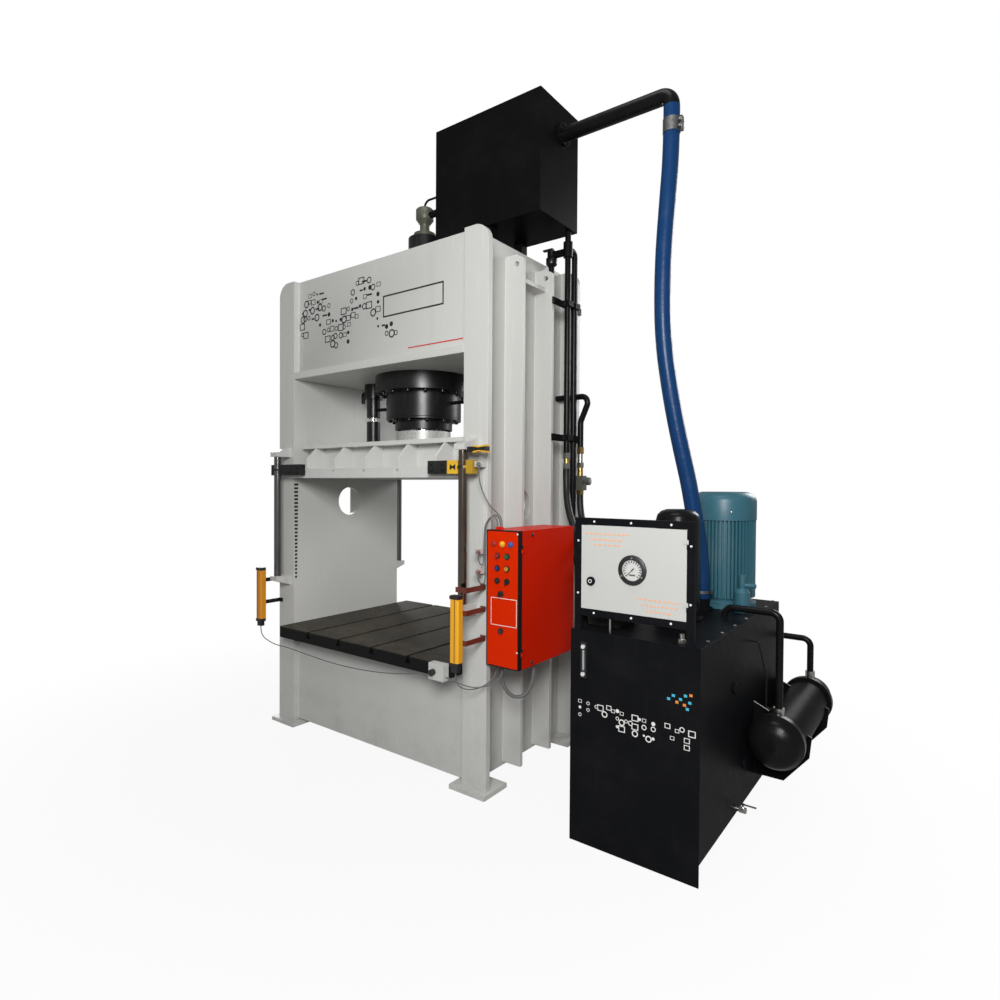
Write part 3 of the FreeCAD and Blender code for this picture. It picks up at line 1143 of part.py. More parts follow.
bleed_x = COOLER_X - 58
rigid.append(elbow_pipe([(PACK_RIGHT, BLEED_Y, BLEED_Z), (PACK_RIGHT + 38, BLEED_Y, BLEED_Z),
                         (bleed_x, front_y, BLEED_Z - 150), (bleed_x, front_y, port_top - 14),
                         (COOLER_X - PIPE_R - 8, front_y, port_top - 14)], BLEED_R, 15))
save("rigid_pipes", *rigid)
save("pipe_fittings", *fittings)

# ---- pipe clamps and hose clamps -------------------------------------------
clamps = []
for z in (DROP_LOW[0] + CLAMP_LOW, drop_top - CLAMP_HIGH):
    bar = mm_box(side_out, side_out + 8, rib_y[1] - RIB / 2, back, z - 20, z + 20)
    saddles = [mm_box(side_out + 8, DROP_X + DROP_R + 9, y - 28, y + 28, z - 17, z + 17).cut(
        rod(DROP_R, 60, DROP_X, y, z - 30)) for y in DROP_Y]
    clamps.append(fuse(bar, *saddles))
HOSE_CLAMPS = ((ELBOW_X, RETURN_Y, hose_top - 138, 70.0), (SPIGOT_X, SPIGOT_Y, hose_foot + 27, 14.0))
for x, y, z, band in HOSE_CLAMPS:
    ring = rod(HOSE_R + 3, band, x, y, z).cut(rod(HOSE_R, band, x, y, z))
    ear = mm_box(x + HOSE_R + 2, x + HOSE_R + 18, y - 14, y + 14, z, z + band)
    clamps.append(fuse(ring, ear.cut(rod(HOSE_R + 1, band, x, y, z))))
save("clamps", *clamps)

# ---- junction block on the table's edge ------------------------------------
JB = (630.0, 730.0, 45.0, 600.0, 686.0)
JB_CAP = (35.0, 42.0)
JB_CAP_R = 16.5
jb_y = -BOLSTER_DEPTH / 2
junction = mm_box(JB[0], JB[1], jb_y - JB[2], jb_y, JB[3], JB[4])
cap = rod(JB_CAP_R, 24, JB[0] + JB_CAP[0], jb_y - JB[2] - 24, JB[3] + JB_CAP[1], AY)
save("junction_block", junction, cap)

# ---- hoses and cables ------------------------------------------------------
BLUE_HOSE = [(ELBOW_X, RETURN_Y, hose_top), (ELBOW_X, RETURN_Y, 3335), (1586, 134, 3065), (1572, 122, 2790),
             (1570, 121, 2516), (1579, 129, 2320), (1601, 149, 2124), (1627, 171, 1945),
             (1655, 195, 1780), (1684, 222, 1620), (1708, 244, 1440), (1730, 264, 1275),
             (SPIGOT_X, SPIGOT_Y, 1130), (SPIGOT_X, SPIGOT_Y, hose_foot)]
save("blue_hose", tube("blue hose", BLUE_HOSE, HOSE_R))

hose_z = (DROP_LOW[0] - 94, DROP_LOW[1] - 40, VB[4] - 26)
hose_end = MANIFOLD_BACK + HOSE_UNION
HOSE_A = [(DROP_X, a_y, hose_z[0]), (DROP_X, a_y, 1600), (962, 215, 1475), (1050, 140, 1350),
          (1155, 70, 1240), (1260, 5, 1140), (1355, -45, 1060), (1425, -95, 1012),
          (PORT_X[0], -150, PORT_LEVEL), (PORT_X[0], hose_end, PORT_LEVEL)]
HOSE_B = [(DROP_X, b_y, hose_z[1]), (DROP_X, b_y, 1285), (970, 290, 1165), (1070, 205, 1085),
          (1190, 115, 1040), (1310, 35, 1016), (1415, -35, 1006), (1480, -92, PORT_LEVEL),
          (PORT_X[1], -148, PORT_LEVEL), (PORT_X[1], hose_end, PORT_LEVEL)]
HOSE_C = [(BENT_X, BENT_Y, hose_z[2]), (BENT_X, BENT_Y, 1462), (985, 368, 1365), (1065, 305, 1270),
          (1160, 228, 1195), (1265, 150, 1130), (1375, 70, 1070), (1475, -8, 1026), (1537, -78, 1007),
          (PORT_X[2], -144, PORT_LEVEL), (PORT_X[2], hose_end, PORT_LEVEL)]
save("pressure_hoses", tube("hose a", HOSE_A, HYD_R, 8), tube("hose b", HOSE_B, HYD_R, 8),
     tube("hose c", HOSE_C, HYD_R, 8))

low_z = BOX_BOTTOM - GLAND_TALL
CONDUIT = [(*LOW_GLANDS[2][:2], low_z), (*LOW_GLANDS[2][:2], 612), (941, -386, 556), (966, -366, 515),
           (997, -341, 502), (1026, -317, 516), (1050, -298, 557), (*LOW_GLANDS[3][:2], 612),
           (*LOW_GLANDS[3][:2], low_z)]
save("conduit_loop", tube("conduit", CONDUIT, 9.5, 8))

top_z = box_z1 + GLAND_TALL
cable_x = sensor_x + SENSOR_LENGTH - 7
CABLE_R = 3.0
SENSOR_CABLES = (
    [(cable_x, rod_y, SENSOR_Z[0] - SENSOR_R), (cable_x, rod_y, 1645), (905, -543, 1590),
     (916, -520, 1535), (929, -488, 1490), (941, -452, 1462), (*TOP_GLANDS[1], 1430),
     (*TOP_GLANDS[1], top_z)],
    [(cable_x, rod_y, SENSOR_Z[1] - SENSOR_R), (cable_x, rod_y, 1236), (896, -538, 1207),
     (893, -514, 1198), (891, -499, 1216), (891, -499, 1262), (892, -499, 1340), (894, -496, 1400),
     (906, -472, 1440), (920, -444, 1448), (*TOP_GLANDS[0], 1416), (*TOP_GLANDS[0], top_z)],
    [(cable_x, rod_y, SENSOR_Z[2] - SENSOR_R), (cable_x, rod_y, 1136), (896, -536, 1108),
     (893, -505, 1102), (891, -488, 1121), (891, -487, 1165), (891, -487, 1240), (892, -487, 1320),
     (893, -486, 1395), (901, -465, 1438), (913, -430, 1456), (*TOP_GLANDS[2], 1428),
     (*TOP_GLANDS[2], top_z)])
save("sensor_cables", *[tube("sensor cable", points, CABLE_R, 6) for points in SENSOR_CABLES])

GUARD_CABLES = (
    [(BAR_X, BAR_Y, plug_z), (BAR_X, BAR_Y, 636), (846, -630, 600), (866, -585, 578), (888, -535, 578),
     (908, -490, 592), (921, -455, 615), (*LOW_GLANDS[0][:2], 645), (*LOW_GLANDS[0][:2], low_z)],
    [(JB[1], -603, 620), (765, -603, 620), (820, -598, 602), (885, -570, 588), (932, -518, 592),
     (958, -465, 612), (*LOW_GLANDS[1][:2], 642), (*LOW_GLANDS[1][:2], low_z)],
    [(-BAR_X, BAR_Y, plug_z), (-BAR_X, BAR_Y, 636), (-820, -640, 600), (-780, -618, 572),
     (-728, -604, 557), (-642, -599, 556), (-555, -596, 552), (-468, -596, 546), (-380, -596, 541),
     (-292, -596, 537), (-205, -596, 534), (-118, -596, 533), (-30, -596, 535), (58, -597, 539),
     (145, -597, 545), (232, -598, 553), (320, -599, 564), (405, -600, 578), (485, -602, 595),
     (560, -603, 612), (JB[0], -603, 612)])
save("guard_cables", *[tube("guard cable", points, CABLE_R, 6) for points in GUARD_CABLES])
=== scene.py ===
import json
import random
from math import cos, hypot, pi, radians, sin, sqrt

import bmesh
import bpy
from mathutils import Matrix, Vector


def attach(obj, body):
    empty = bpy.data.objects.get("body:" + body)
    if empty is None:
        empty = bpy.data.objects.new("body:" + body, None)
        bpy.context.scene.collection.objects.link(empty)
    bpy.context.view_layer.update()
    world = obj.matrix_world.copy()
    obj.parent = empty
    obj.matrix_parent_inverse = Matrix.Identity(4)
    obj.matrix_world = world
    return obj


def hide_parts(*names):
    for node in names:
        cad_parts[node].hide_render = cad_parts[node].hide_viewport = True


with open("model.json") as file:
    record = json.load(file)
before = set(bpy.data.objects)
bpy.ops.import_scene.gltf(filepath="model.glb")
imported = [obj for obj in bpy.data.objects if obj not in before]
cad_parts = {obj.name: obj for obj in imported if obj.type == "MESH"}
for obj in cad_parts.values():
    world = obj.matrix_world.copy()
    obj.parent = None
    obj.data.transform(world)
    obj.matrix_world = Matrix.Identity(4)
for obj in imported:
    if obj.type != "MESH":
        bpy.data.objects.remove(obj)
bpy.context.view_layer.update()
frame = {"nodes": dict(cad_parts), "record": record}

# ---- View ----
# The press is seen from its right front corner, close to, at eye height and
# through a wide lens that was held almost level.
EYE = (2.8302, -2.9942, 1.6)
EYE_YAW, EYE_PITCH, EYE_ROLL = 0.6419, -0.0152, 0.0061
FOCAL_OVER_WIDTH = 0.62433
SENSOR = 36.0
LENS_SHIFT = (0.0041, -0.0047)
FAR_CLIP = 200.0

scene = bpy.context.scene
camera = bpy.data.objects.new("camera", bpy.data.cameras.new("camera"))
scene.collection.objects.link(camera)
camera.matrix_world = (Matrix.Translation(EYE) @ Matrix.Rotation(EYE_YAW, 4, "Z")
                       @ Matrix.Rotation(pi / 2 + EYE_PITCH, 4, "X")
                       @ Matrix.Rotation(EYE_ROLL, 4, "Z"))
camera.data.sensor_width = SENSOR
camera.data.lens = SENSOR * FOCAL_OVER_WIDTH
camera.data.shift_x, camera.data.shift_y = LENS_SHIFT
camera.data.clip_end = FAR_CLIP
scene.camera = camera
scene.view_settings.view_transform = "Standard"


# ---- Floor and light ----
# A pale studio floor that only keeps the press's shadow, under a soft lamp near
# the viewer, a larger one overhead and two that light the far sides.
class Field:
    """A value or colour on its way through a node tree, with its arithmetic written as sums."""

    def __init__(self, tree, socket):
        self.tree, self.socket = tree, socket

    @classmethod
    def node(cls, tree, kind, settings=(), values=(), out=0):
        """Any node: its type, its settings, then the values or links of its sockets."""
        made = tree.nodes.new(kind)
        for key, value in dict(settings).items():
            setattr(made, key, value)
        for key, value in values.items() if isinstance(values, dict) else enumerate(values):
            if isinstance(value, Field):
                tree.links.new(value.socket, made.inputs[key])
            elif value is not None:
                made.inputs[key].default_value = value
        return cls(tree, made.outputs[out])

    def math(self, operation, other=0.0):
        return Field.node(self.tree, "ShaderNodeMath", {"operation": operation}, [self, other])

    def __add__(self, other):
        return self.math("ADD", other)

    def __sub__(self, other):
        return self.math("SUBTRACT", other)

    def __rsub__(self, other):
        return Field.node(self.tree, "ShaderNodeMath", {"operation": "SUBTRACT"}, [other, self])

    def __mul__(self, other):
        return self.math("MULTIPLY", other)

    def __gt__(self, other):
        return self.math("GREATER_THAN", other)

    def __lt__(self, other):
        return self.math("LESS_THAN", other)

    def __mod__(self, other):
        return self.math("FLOORED_MODULO", other)

    def __abs__(self):
        return self.math("ABSOLUTE")

    __radd__, __rmul__ = __add__, __mul__


class Finish:
    """One material: a principled shader fed by fields over the piece's own coordinates."""

    def __init__(self, name, colour, roughness, **sockets):
        self.material = bpy.data.materials.new(name)
        self.material.use_nodes = True
        self.tree = self.material.node_tree
        self.shader = self.tree.nodes["Principled BSDF"]
        self.colour, self.roughness, self.height = (*colour, 1.0), roughness, None
        for socket, value in sockets.items():
            self.shader.inputs[socket.replace("_", " ").title().replace("Ior", "IOR")].default_value = value
        self.place = self.node("ShaderNodeTexCoord", out="Object")
        self.x, self.y, self.z = (
            self.node("ShaderNodeSeparateXYZ", values=[self.place], out=i) for i in range(3))

    def node(self, kind, settings=(), values=(), out=0):
        return Field.node(self.tree, kind, settings, values, out)

    def noise(self, scale, detail=3.0, stretch=(1.0, 1.0, 1.0), roughness=0.5):
        """Grain that averages a half, drawn out along an axis by a small stretch."""
        place = self.place
        if stretch != (1.0, 1.0, 1.0):
            place = self.node("ShaderNodeMapping", values={"Vector": place, "Scale": stretch})
        return self.node("ShaderNodeTexNoise", values={
            "Vector": place, "Scale": scale, "Detail": detail, "Roughness": roughness})

    def step(self, field, low, high):
        """0 below low and 1 above high, with a soft change between."""
        return self.node("ShaderNodeMapRange", {"interpolation_type": "SMOOTHSTEP"},
                         [field, low, high, 0.0, 1.0])

    def tint(self, mask, colour):
        """Lays a second colour over the first where the mask is 1."""
        self.colour = self.node("ShaderNodeMix", {"data_type": "RGBA"},
                                {0: mask, 6: self.colour, 7: (*colour, 1.0)}, out=2)

    def relief(self, height, depth):
        """Adds a relief, in metres for a field that runs from 0 to 1."""
        self.height = height * depth if self.height is None else self.height + height * depth

    def done(self):
        """Puts colour, roughness and relief on the shader, and gives the material."""
        for socket, value in (("Base Color", self.colour), ("Roughness", self.roughness)):
            if isinstance(value, Field):
                self.tree.links.new(value.socket, self.shader.inputs[socket])
            else:
                self.shader.inputs[socket].default_value = value
        if self.height is not None:
            bump = self.node("ShaderNodeBump", values={
                "Strength": 1.0, "Distance": 1.0, "Height": self.height})
            self.tree.links.new(bump.socket, self.shader.inputs["Normal"])
        return self.material


def ray_kinds(tree):
    """1 for rays from the camera, from glossy faces and through glass, in that order."""
    return [Field.node(tree, "ShaderNodeLightPath", out=name)
            for name in ("Is Camera Ray", "Is Glossy Ray", "Is Transmission Ray")]


FLOOR_HALF, FLOOR_DROP = 30.0, 0.0004
FLOOR_GREY = (0.36, 0.36, 0.36)
PAPER_SHADE = 0.08          # share of the real floor that shows close to the press
PAPER_FADE = (1.2, 3.6)     # distance from the press over which that share fades
FLOOR_MIRRORED = 0.22       # how bright the paper looks in glossy faces
WHITE = (1.0, 1.0, 1.0, 1.0)
floor_mesh = bpy.data.meshes.new("floor")
floor_mesh.from_pydata([(x * FLOOR_HALF, y * FLOOR_HALF, -FLOOR_DROP)
                        for x, y in ((-1, -1), (1, -1), (1, 1), (-1, 1))], [], [(0, 1, 2, 3)])
floor = bpy.data.objects.new("floor", floor_mesh)
scene.collection.objects.link(floor)
floor_finish = Finish("floor_paper", FLOOR_GREY, 0.9)
floor_finish.roughness = floor_finish.noise(3.0) * 0.1 + 0.85
floor_mesh.materials.append(floor_finish.done())
floor_tree = floor_finish.tree
camera_ray, glossy_ray, clear_ray = ray_kinds(floor_tree)
paper_light = Field.node(floor_tree, "ShaderNodeEmission", values=[WHITE, 1.0])
away = floor_finish.node("ShaderNodeVectorMath", {"operation": "LENGTH"}, [floor_finish.place], out=1)
shade = (1.0 - floor_finish.step(away, *PAPER_FADE)) * PAPER_SHADE
paper = Field.node(floor_tree, "ShaderNodeMixShader",
                   values=[(camera_ray + glossy_ray * FLOOR_MIRRORED + clear_ray) * (1.0 - shade),
                           Field(floor_tree, floor_finish.shader.outputs[0]), paper_light])
floor_tree.links.new(paper.socket, floor_tree.nodes["Material Output"].inputs["Surface"])

FILL = 0.15                 # light that comes from all round
MIRRORED = 0.18             # how bright the room looks in glossy faces
world = bpy.data.worlds.new("studio")
scene.world = world
world.use_nodes = True
sky = world.node_tree
camera_ray, glossy_ray, clear_ray = ray_kinds(sky)
shown = Field.node(sky, "ShaderNodeMath", {"operation": "MINIMUM"},
                   [camera_ray + glossy_ray * MIRRORED + clear_ray, 1.0])
sky.links.new((shown * (1.0 - FILL) + FILL).socket, sky.nodes["Background"].inputs["Strength"])
sky.nodes["Background"].inputs["Color"].default_value = WHITE

LAMP_AIM = Vector((0.5, 0.0, 1.5))
LAMPS = (("lamp_viewer", (3.1, -3.7, 2.9), 1.5, 196.0), ("lamp_overhead", (1.2, -1.6, 7.0), 3.0, 95.0),
         ("lamp_behind", (3.0, 6.2, 4.2), 3.0, 190.0), ("lamp_left", (-5.2, 2.6, 3.4), 3.0, 150.0))
for name, place, size, power in LAMPS:
    lamp = bpy.data.objects.new(name, bpy.data.lights.new(name, "AREA"))
    lamp.data.shape, lamp.data.size, lamp.data.energy = "DISK", size, power
    lamp.location = place
    lamp.rotation_euler = (LAMP_AIM - Vector(place)).to_track_quat("-Z", "Y").to_euler()
    scene.collection.objects.link(lamp)

# ---- Side uprights and foot plates ----
# Each upright is a weldment of thick plate: web, two flanges, two outer ribs
# with a lifting hole, on foot plates. Sprayed in light grey machine paint.
record = frame["record"]
body_of = {node: body for body, nodes in record["behaviour"]["bodies"].items() for node in nodes}
slot_of = {part["node"]: part["material_slot"] for part in record["subparts"]}
SEAM_MERGE, FLAT_WITHIN = 1e-5, 0.004
SHARP_ABOVE, EASED_ABOVE = radians(32.0), radians(40.0)
PLATE_EDGE = 0.003          # eased edge of thick plate


def place_piece(piece, body, slot, *stands_for):
    """Puts a finished piece on its body and hides the CAD parts it stands for; slot, the finish's name in
    the record, is not used.
    """
    if piece.name not in scene.collection.objects:
        scene.collection.objects.link(piece)
    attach(piece, body)
    if stands_for:
        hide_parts(*stands_for)
    return piece


def dress(node, *finishes, edge=0.0, choose=None):
    """A copy of a CAD piece with its seams merged, its edges eased and its finishes on it. choose
    gives a face's finish from its centre and normal."""
    mesh = frame["nodes"][node].data.copy()
    mesh.name = node + "_finished"
    mesh.materials.clear()
    for finish in finishes:
        mesh.materials.append(finish)
    work = bmesh.new()
    work.from_mesh(mesh)
    bmesh.ops.remove_doubles(work, verts=work.verts, dist=SEAM_MERGE)
    bmesh.ops.dissolve_limit(work, angle_limit=FLAT_WITHIN, verts=work.verts, edges=work.edges)
    for face in work.faces:
        face.material_index = int(choose(face.calc_center_median(), face.normal)) if choose else 0
        face.smooth = True
    work.to_mesh(mesh)
    work.free()
    mesh.set_sharp_from_angle(angle=SHARP_ABOVE)
    piece = bpy.data.objects.new(mesh.name, mesh)
    if edge:
        bevel = piece.modifiers.new("eased_edges", "BEVEL")
        bevel.width, bevel.segments, bevel.limit_method = edge, 2, "ANGLE"
        bevel.angle_limit, bevel.harden_normals = EASED_ABOVE, True
    return place_piece(piece, body_of[node], slot_of[node], node)


def sprayed(name, colour, roughness, peel=0.00004, mottle=0.06, dust=0.0, scuffs=0.0, coat=0.0,
            shine=0.5):
    """Sprayed paint: an orange-peel skin, a slow drift in tone, dust or scuffs where it gets them."""
    paint = Finish(name, colour, roughness, coat_weight=coat, coat_roughness=0.2, specular_ior_level=shine)
    slow, close = paint.noise(1.7, 4.0), paint.noise(23.0, 4.0)
    paint.tint(paint.step(slow, 0.35, 0.75) * mottle * 4.0, [c * 0.86 for c in colour])
    paint.tint(paint.step(close, 0.45, 0.8) * mottle * 2.0, [min(1.0, c * 1.12 + 0.004) for c in colour])
    rough = close * 0.12 + (roughness - 0.06)
    if dust:
        lying = paint.step(paint.noise(4.0, 6.0, roughness=0.7), 0.42, 0.75) * dust
        paint.tint(lying, (0.30, 0.28, 0.25))
        rough = rough + lying * 0.6
    if scuffs:
        drawn = paint.step(paint.noise(60.0, 2.0, (1.0, 1.0, 0.06)), 0.64, 0.72) * scuffs
        paint.tint(drawn, [min(1.0, c * 1.5 + 0.03) for c in colour])
        rough = rough + drawn * 0.2
    paint.roughness = rough
    paint.relief(paint.noise(420.0, 2.0), peel)
    paint.relief(close, peel * 2.5)
    return paint


# The press's own grey gathers floor grime low down, and faint runs.
GRIME_TOP = 0.55
grey = sprayed("frame_grey", (0.520, 0.520, 0.497), 0.36, mottle=0.035, scuffs=0.10)
low_down = 1.0 - grey.step(grey.z, 0.0, GRIME_TOP)
patches = grey.step(grey.noise(7.0, 6.0, roughness=0.65), 0.42, 0.72)
grey.tint(low_down * patches * 0.22, (0.20, 0.18, 0.15))
runs = grey.step(grey.noise(11.0, 3.0, (1.0, 1.0, 0.05)), 0.60, 0.78)
grey.tint(runs * 0.12, (0.30, 0.29, 0.26))
upright_paint = grey.done()
for node, edge in (("left_upright", PLATE_EDGE), ("right_upright", PLATE_EDGE), ("foot_plates", 0.002)):
    dress(node, upright_paint, edge=edge)

# ---- Crown and bed ----
# Welded boxes of the same plate between the uprights: the crown holds the main
# cylinder, the bed carries the table. Hand-welded seams, all painted over.
for node in ("crown", "bed"):
    dress(node, upright_paint, edge=PLATE_EDGE)


def lathe(name, profile, sides, start=0.0):
    """A small closed form from (radius, height) points, underside first, with flat or round sides."""
    work = bmesh.new()
    rings = []
    for radius, height in profile:
        count = sides if radius else 1
        angles = [start + 2.0 * pi * i / sides for i in range(count)]
        rings.append([work.verts.new((radius * cos(a), radius * sin(a), height)) for a in angles])
    for low, high in zip(rings, rings[1:]):
        for i in range(sides):
            corners = [low[i % len(low)], low[(i + 1) % len(low)],
                       high[(i + 1) % len(high)], high[i % len(high)]]
            face = work.faces.new(list(dict.fromkeys(corners)))
            face.smooth = True
    bmesh.ops.remove_doubles(work, verts=work.verts, dist=1e-6)
    mesh = bpy.data.meshes.new(name)
    work.to_mesh(mesh)
    work.free()
    mesh.set_sharp_from_angle(angle=SHARP_ABOVE)
    return bpy.data.objects.new(name, mesh)


def facing(axis):
    """Turn that points a small form's top along an axis."""
    return Vector(axis).to_track_quat("Z", "Y").to_euler()


def along_line(begin, end, axis, step, size):
    """Places at even steps between two points."""
    begin, end = Vector(begin), Vector(end)
    count = max(1, round((end - begin).length / step))
    return [(begin.lerp(end, (i + 0.5) / count), facing(axis), size) for i in range(count)]


def repeated(name, form, places, finish, slot, body="press", uneven=0.0):
    """Copies of one small form on places of (point, turn, size), grown by a node tree and kept as
    one mesh. Uneven copies differ in size by up to that share."""
    mesh = bpy.data.meshes.new(name + "_places")
    mesh.from_pydata([place[0] for place in places], [], [])
    for index, key in ((1, "turn"), (2, "size")):
        layer = mesh.attributes.new(key, "FLOAT_VECTOR", "POINT")
        for item, place in zip(layer.data, places):
            item.vector = place[index]
    tree = bpy.data.node_groups.new(name + "_copies", "GeometryNodeTree")
    inputs = [tree.interface.new_socket(key, in_out="INPUT", socket_type="NodeSocket" + kind)
              for key, kind in (("Places", "Geometry"), ("Form", "Object"), ("Unevenness", "Float"))]
    tree.interface.new_socket("Copies", in_out="OUTPUT", socket_type="NodeSocketGeometry")
    given = [Field.node(tree, "NodeGroupInput", out=i) for i in range(3)]
    turn, size = (Field.node(tree, "GeometryNodeInputNamedAttribute", {"data_type": "FLOAT_VECTOR"},
                             {"Name": key}) for key in ("turn", "size"))
    turn = Field.node(tree, "FunctionNodeEulerToRotation", values=[turn])
    spread = Field.node(tree, "FunctionNodeRandomValue", {"data_type": "FLOAT"},
                        {2: 1.0 - given[2], 3: given[2] + 1.0, "Seed": 7}, out=1)
    size = Field.node(tree, "ShaderNodeVectorMath", {"operation": "SCALE"}, {0: size, "Scale": spread})
    shape = Field.node(tree, "GeometryNodeObjectInfo", values={"Object": given[1]}, out="Geometry")
    copies = Field.node(tree, "GeometryNodeInstanceOnPoints",
                        values={"Points": given[0], "Instance": shape, "Rotation": turn, "Scale": size})
    copies = Field.node(tree, "GeometryNodeRealizeInstances", values=[copies])
    copies = Field.node(tree, "GeometryNodeSetMaterial", values={"Geometry": copies, "Material": finish})
    tree.links.new(copies.socket, tree.nodes.new("NodeGroupOutput").inputs[0])
    piece = bpy.data.objects.new(name, mesh)
    scene.collection.objects.link(piece)
    grow = piece.modifiers.new("copies", "NODES")
    grow.node_group = tree
    for socket, value in zip(inputs[1:], (form, uneven)):
        grow[socket.identifier] = value
    grown = piece.evaluated_get(bpy.context.evaluated_depsgraph_get())
    kept = bpy.data.meshes.new_from_object(grown)
    piece.modifiers.clear()
    piece.data = kept
    kept.name = name
    return place_piece(piece, body, slot)


BEAD = lathe("bead", [(0.0, 0.0), (1.0, 0.0), (0.72, 0.62), (0.0, 0.85)], 6)
WEB_IN, WEB_OUT, RIB_SIDES, FLANGE_BACK, PLATE_Y = 0.731, 0.771, (0.1375, 0.1625), 0.438, 0.435
RIB_SEAM, FLANGE_SEAM = (0.050, 2.870), (0.030, 2.915)
BED_SEAM, CROWN_SEAM = (0.032, 0.603), (2.300, 2.940)
BEAD_PITCH, BEAD_SIZE, BEAD_UNEVEN = 0.013, (0.0048, 0.0085, 0.0036), 0.18


def weld(x, y, seam, outwards):
    """Beads up an upright seam between two heights."""
    return along_line((x, y, seam[0]), (x, y, seam[1]), outwards, BEAD_PITCH, BEAD_SIZE)


beads = []
for side in (-1, 1):
    for y in (-1, 1):
        for rib_side, out_y in zip(RIB_SIDES, (-1, 1)):
            beads += weld(side * WEB_OUT, y * rib_side, RIB_SEAM, (side, y * out_y, 0))
        beads += weld(side * WEB_OUT, y * FLANGE_BACK, FLANGE_SEAM, (side, -y, 0))
        for seam in (BED_SEAM, CROWN_SEAM):
            beads += weld(side * WEB_IN, y * PLATE_Y, seam, (-side, y, 0))
repeated("weld_beads", BEAD, beads, upright_paint, "frame_grey", uneven=BEAD_UNEVEN)

# The front of the crown carries a printed pattern of rings, frames, dots and
# bars, a ruled frame with nothing in it, and a thin red rule, in screen ink.
INK = 0.0003                # thickness of a printed film
PRINT_LIFT = 0.0001         # from the paint to the film's back
SQUARE = sqrt(0.5)          # corner radius of a square one unit wide
INK_RING = lathe("ink_ring", [(1.0, 0.0), (1.0, INK), (0.66, INK), (0.66, 0.0), (1.0, 0.0)], 28)
INK_FRAME = lathe("ink_frame", [(SQUARE, 0.0), (SQUARE, INK), (0.52, INK), (0.52, 0.0), (SQUARE, 0.0)], 4,
                  pi / 4)
INK_DOT = lathe("ink_dot", [(0.0, 0.0), (1.0, 0.0), (1.0, INK), (0.0, INK)], 24)
INK_BAR = lathe("ink_bar", [(0.0, 0.0), (SQUARE, 0.0), (SQUARE, INK), (0.0, INK)], 4, pi / 4)
FRONT = (0.0, -1.0, 0.0)
to_front = facing(FRONT)


def printed(point, wide, tall=None):
    """The place of a motif on a front face, square unless its height is told."""
    return point, to_front, (wide, tall or wide, 1.0)


def ink(name, colour):
    """Matt printed film, thin enough to show the paint's skin."""
    film = Finish(name, colour, 0.5)
    film.roughness = film.noise(300.0, 2.0) * 0.2 + 0.4
    film.tint(film.step(film.noise(60.0, 4.0), 0.6, 0.85) * 0.4, [c * 0.7 + 0.05 for c in colour])
    film.relief(film.noise(420.0, 2.0), 0.00003)
    return film.done()


ink_black = ink("ink_black", (0.012, 0.012, 0.013))
ink_red = ink("ink_red", (0.50, 0.03, 0.02))
draw = random.Random(11)
PRINT_COLUMNS, PRINT_ROWS, PRINT_LEFT, PRINT_LOW, PRINT_STEP = 24, 8, -0.695, 2.488, (0.0385, 0.050)
STRAY = 0.008               # of a motif from its place in the grid
CROWN_PRINT_Y = -PLATE_Y - PRINT_LIFT
BLANK_FRAME = (0.082, 0.550, 2.591, 2.710)      # left, right, low, high
FRAME_ROOM = (0.04, 2.57, 2.74)                 # left, low, high; no motif inside
RULE = 0.009
RED_RULE_X, RED_RULE_Z, RED_RULE_WIDE, RED_RULE_TALL = 0.489, 2.383, 0.408, 0.007
rings, frames, dots, bars = [], [], [], []
for column in range(PRINT_COLUMNS):
    for row in range(PRINT_ROWS):
        x, z = PRINT_LEFT + column * PRINT_STEP[0], PRINT_LOW + row * PRINT_STEP[1]
        kind = draw.random()
        off_wave = abs(row - 3.5 - 2.4 * sin(column * 0.50)) > 2.0 + draw.random() * 1.1
        if off_wave or (x > FRAME_ROOM[0] and FRAME_ROOM[1] < z < FRAME_ROOM[2]):
            continue
        point = (x + draw.uniform(-STRAY, STRAY), CROWN_PRINT_Y, z + draw.uniform(-STRAY, STRAY))
        if kind < 0.26:
            rings.append(printed(point, draw.choice((0.015, 0.020, 0.025))))
        elif kind < 0.52:
            size = draw.choice((0.034, 0.044, 0.054))
            frames.append(printed(point, size, size * 0.8))
        elif kind < 0.70:
            dots.append(printed(point, draw.choice((0.008, 0.011, 0.014))))
        elif kind < 0.88:
            bars.append(printed(point, draw.choice((0.028, 0.038, 0.046)), 0.011))
x0, x1, z0, z1 = BLANK_FRAME
bars += [printed(((x0 + x1) / 2, CROWN_PRINT_Y, z), x1 - x0 + RULE, RULE) for z in (z0, z1)]
bars += [printed((x, CROWN_PRINT_Y, (z0 + z1) / 2), RULE, z1 - z0) for x in (x0, x1)]
for kind, form, places in (("rings", INK_RING, rings), ("frames", INK_FRAME, frames),
                           ("dots", INK_DOT, dots), ("bars", INK_BAR, bars)):
    repeated("crown_" + kind, form, places, ink_black, "black_paint")
red_rule = printed((RED_RULE_X, CROWN_PRINT_Y, RED_RULE_Z), RED_RULE_WIDE, RED_RULE_TALL)
repeated("crown_rule", INK_BAR, [red_rule], ink_red, "box_red")

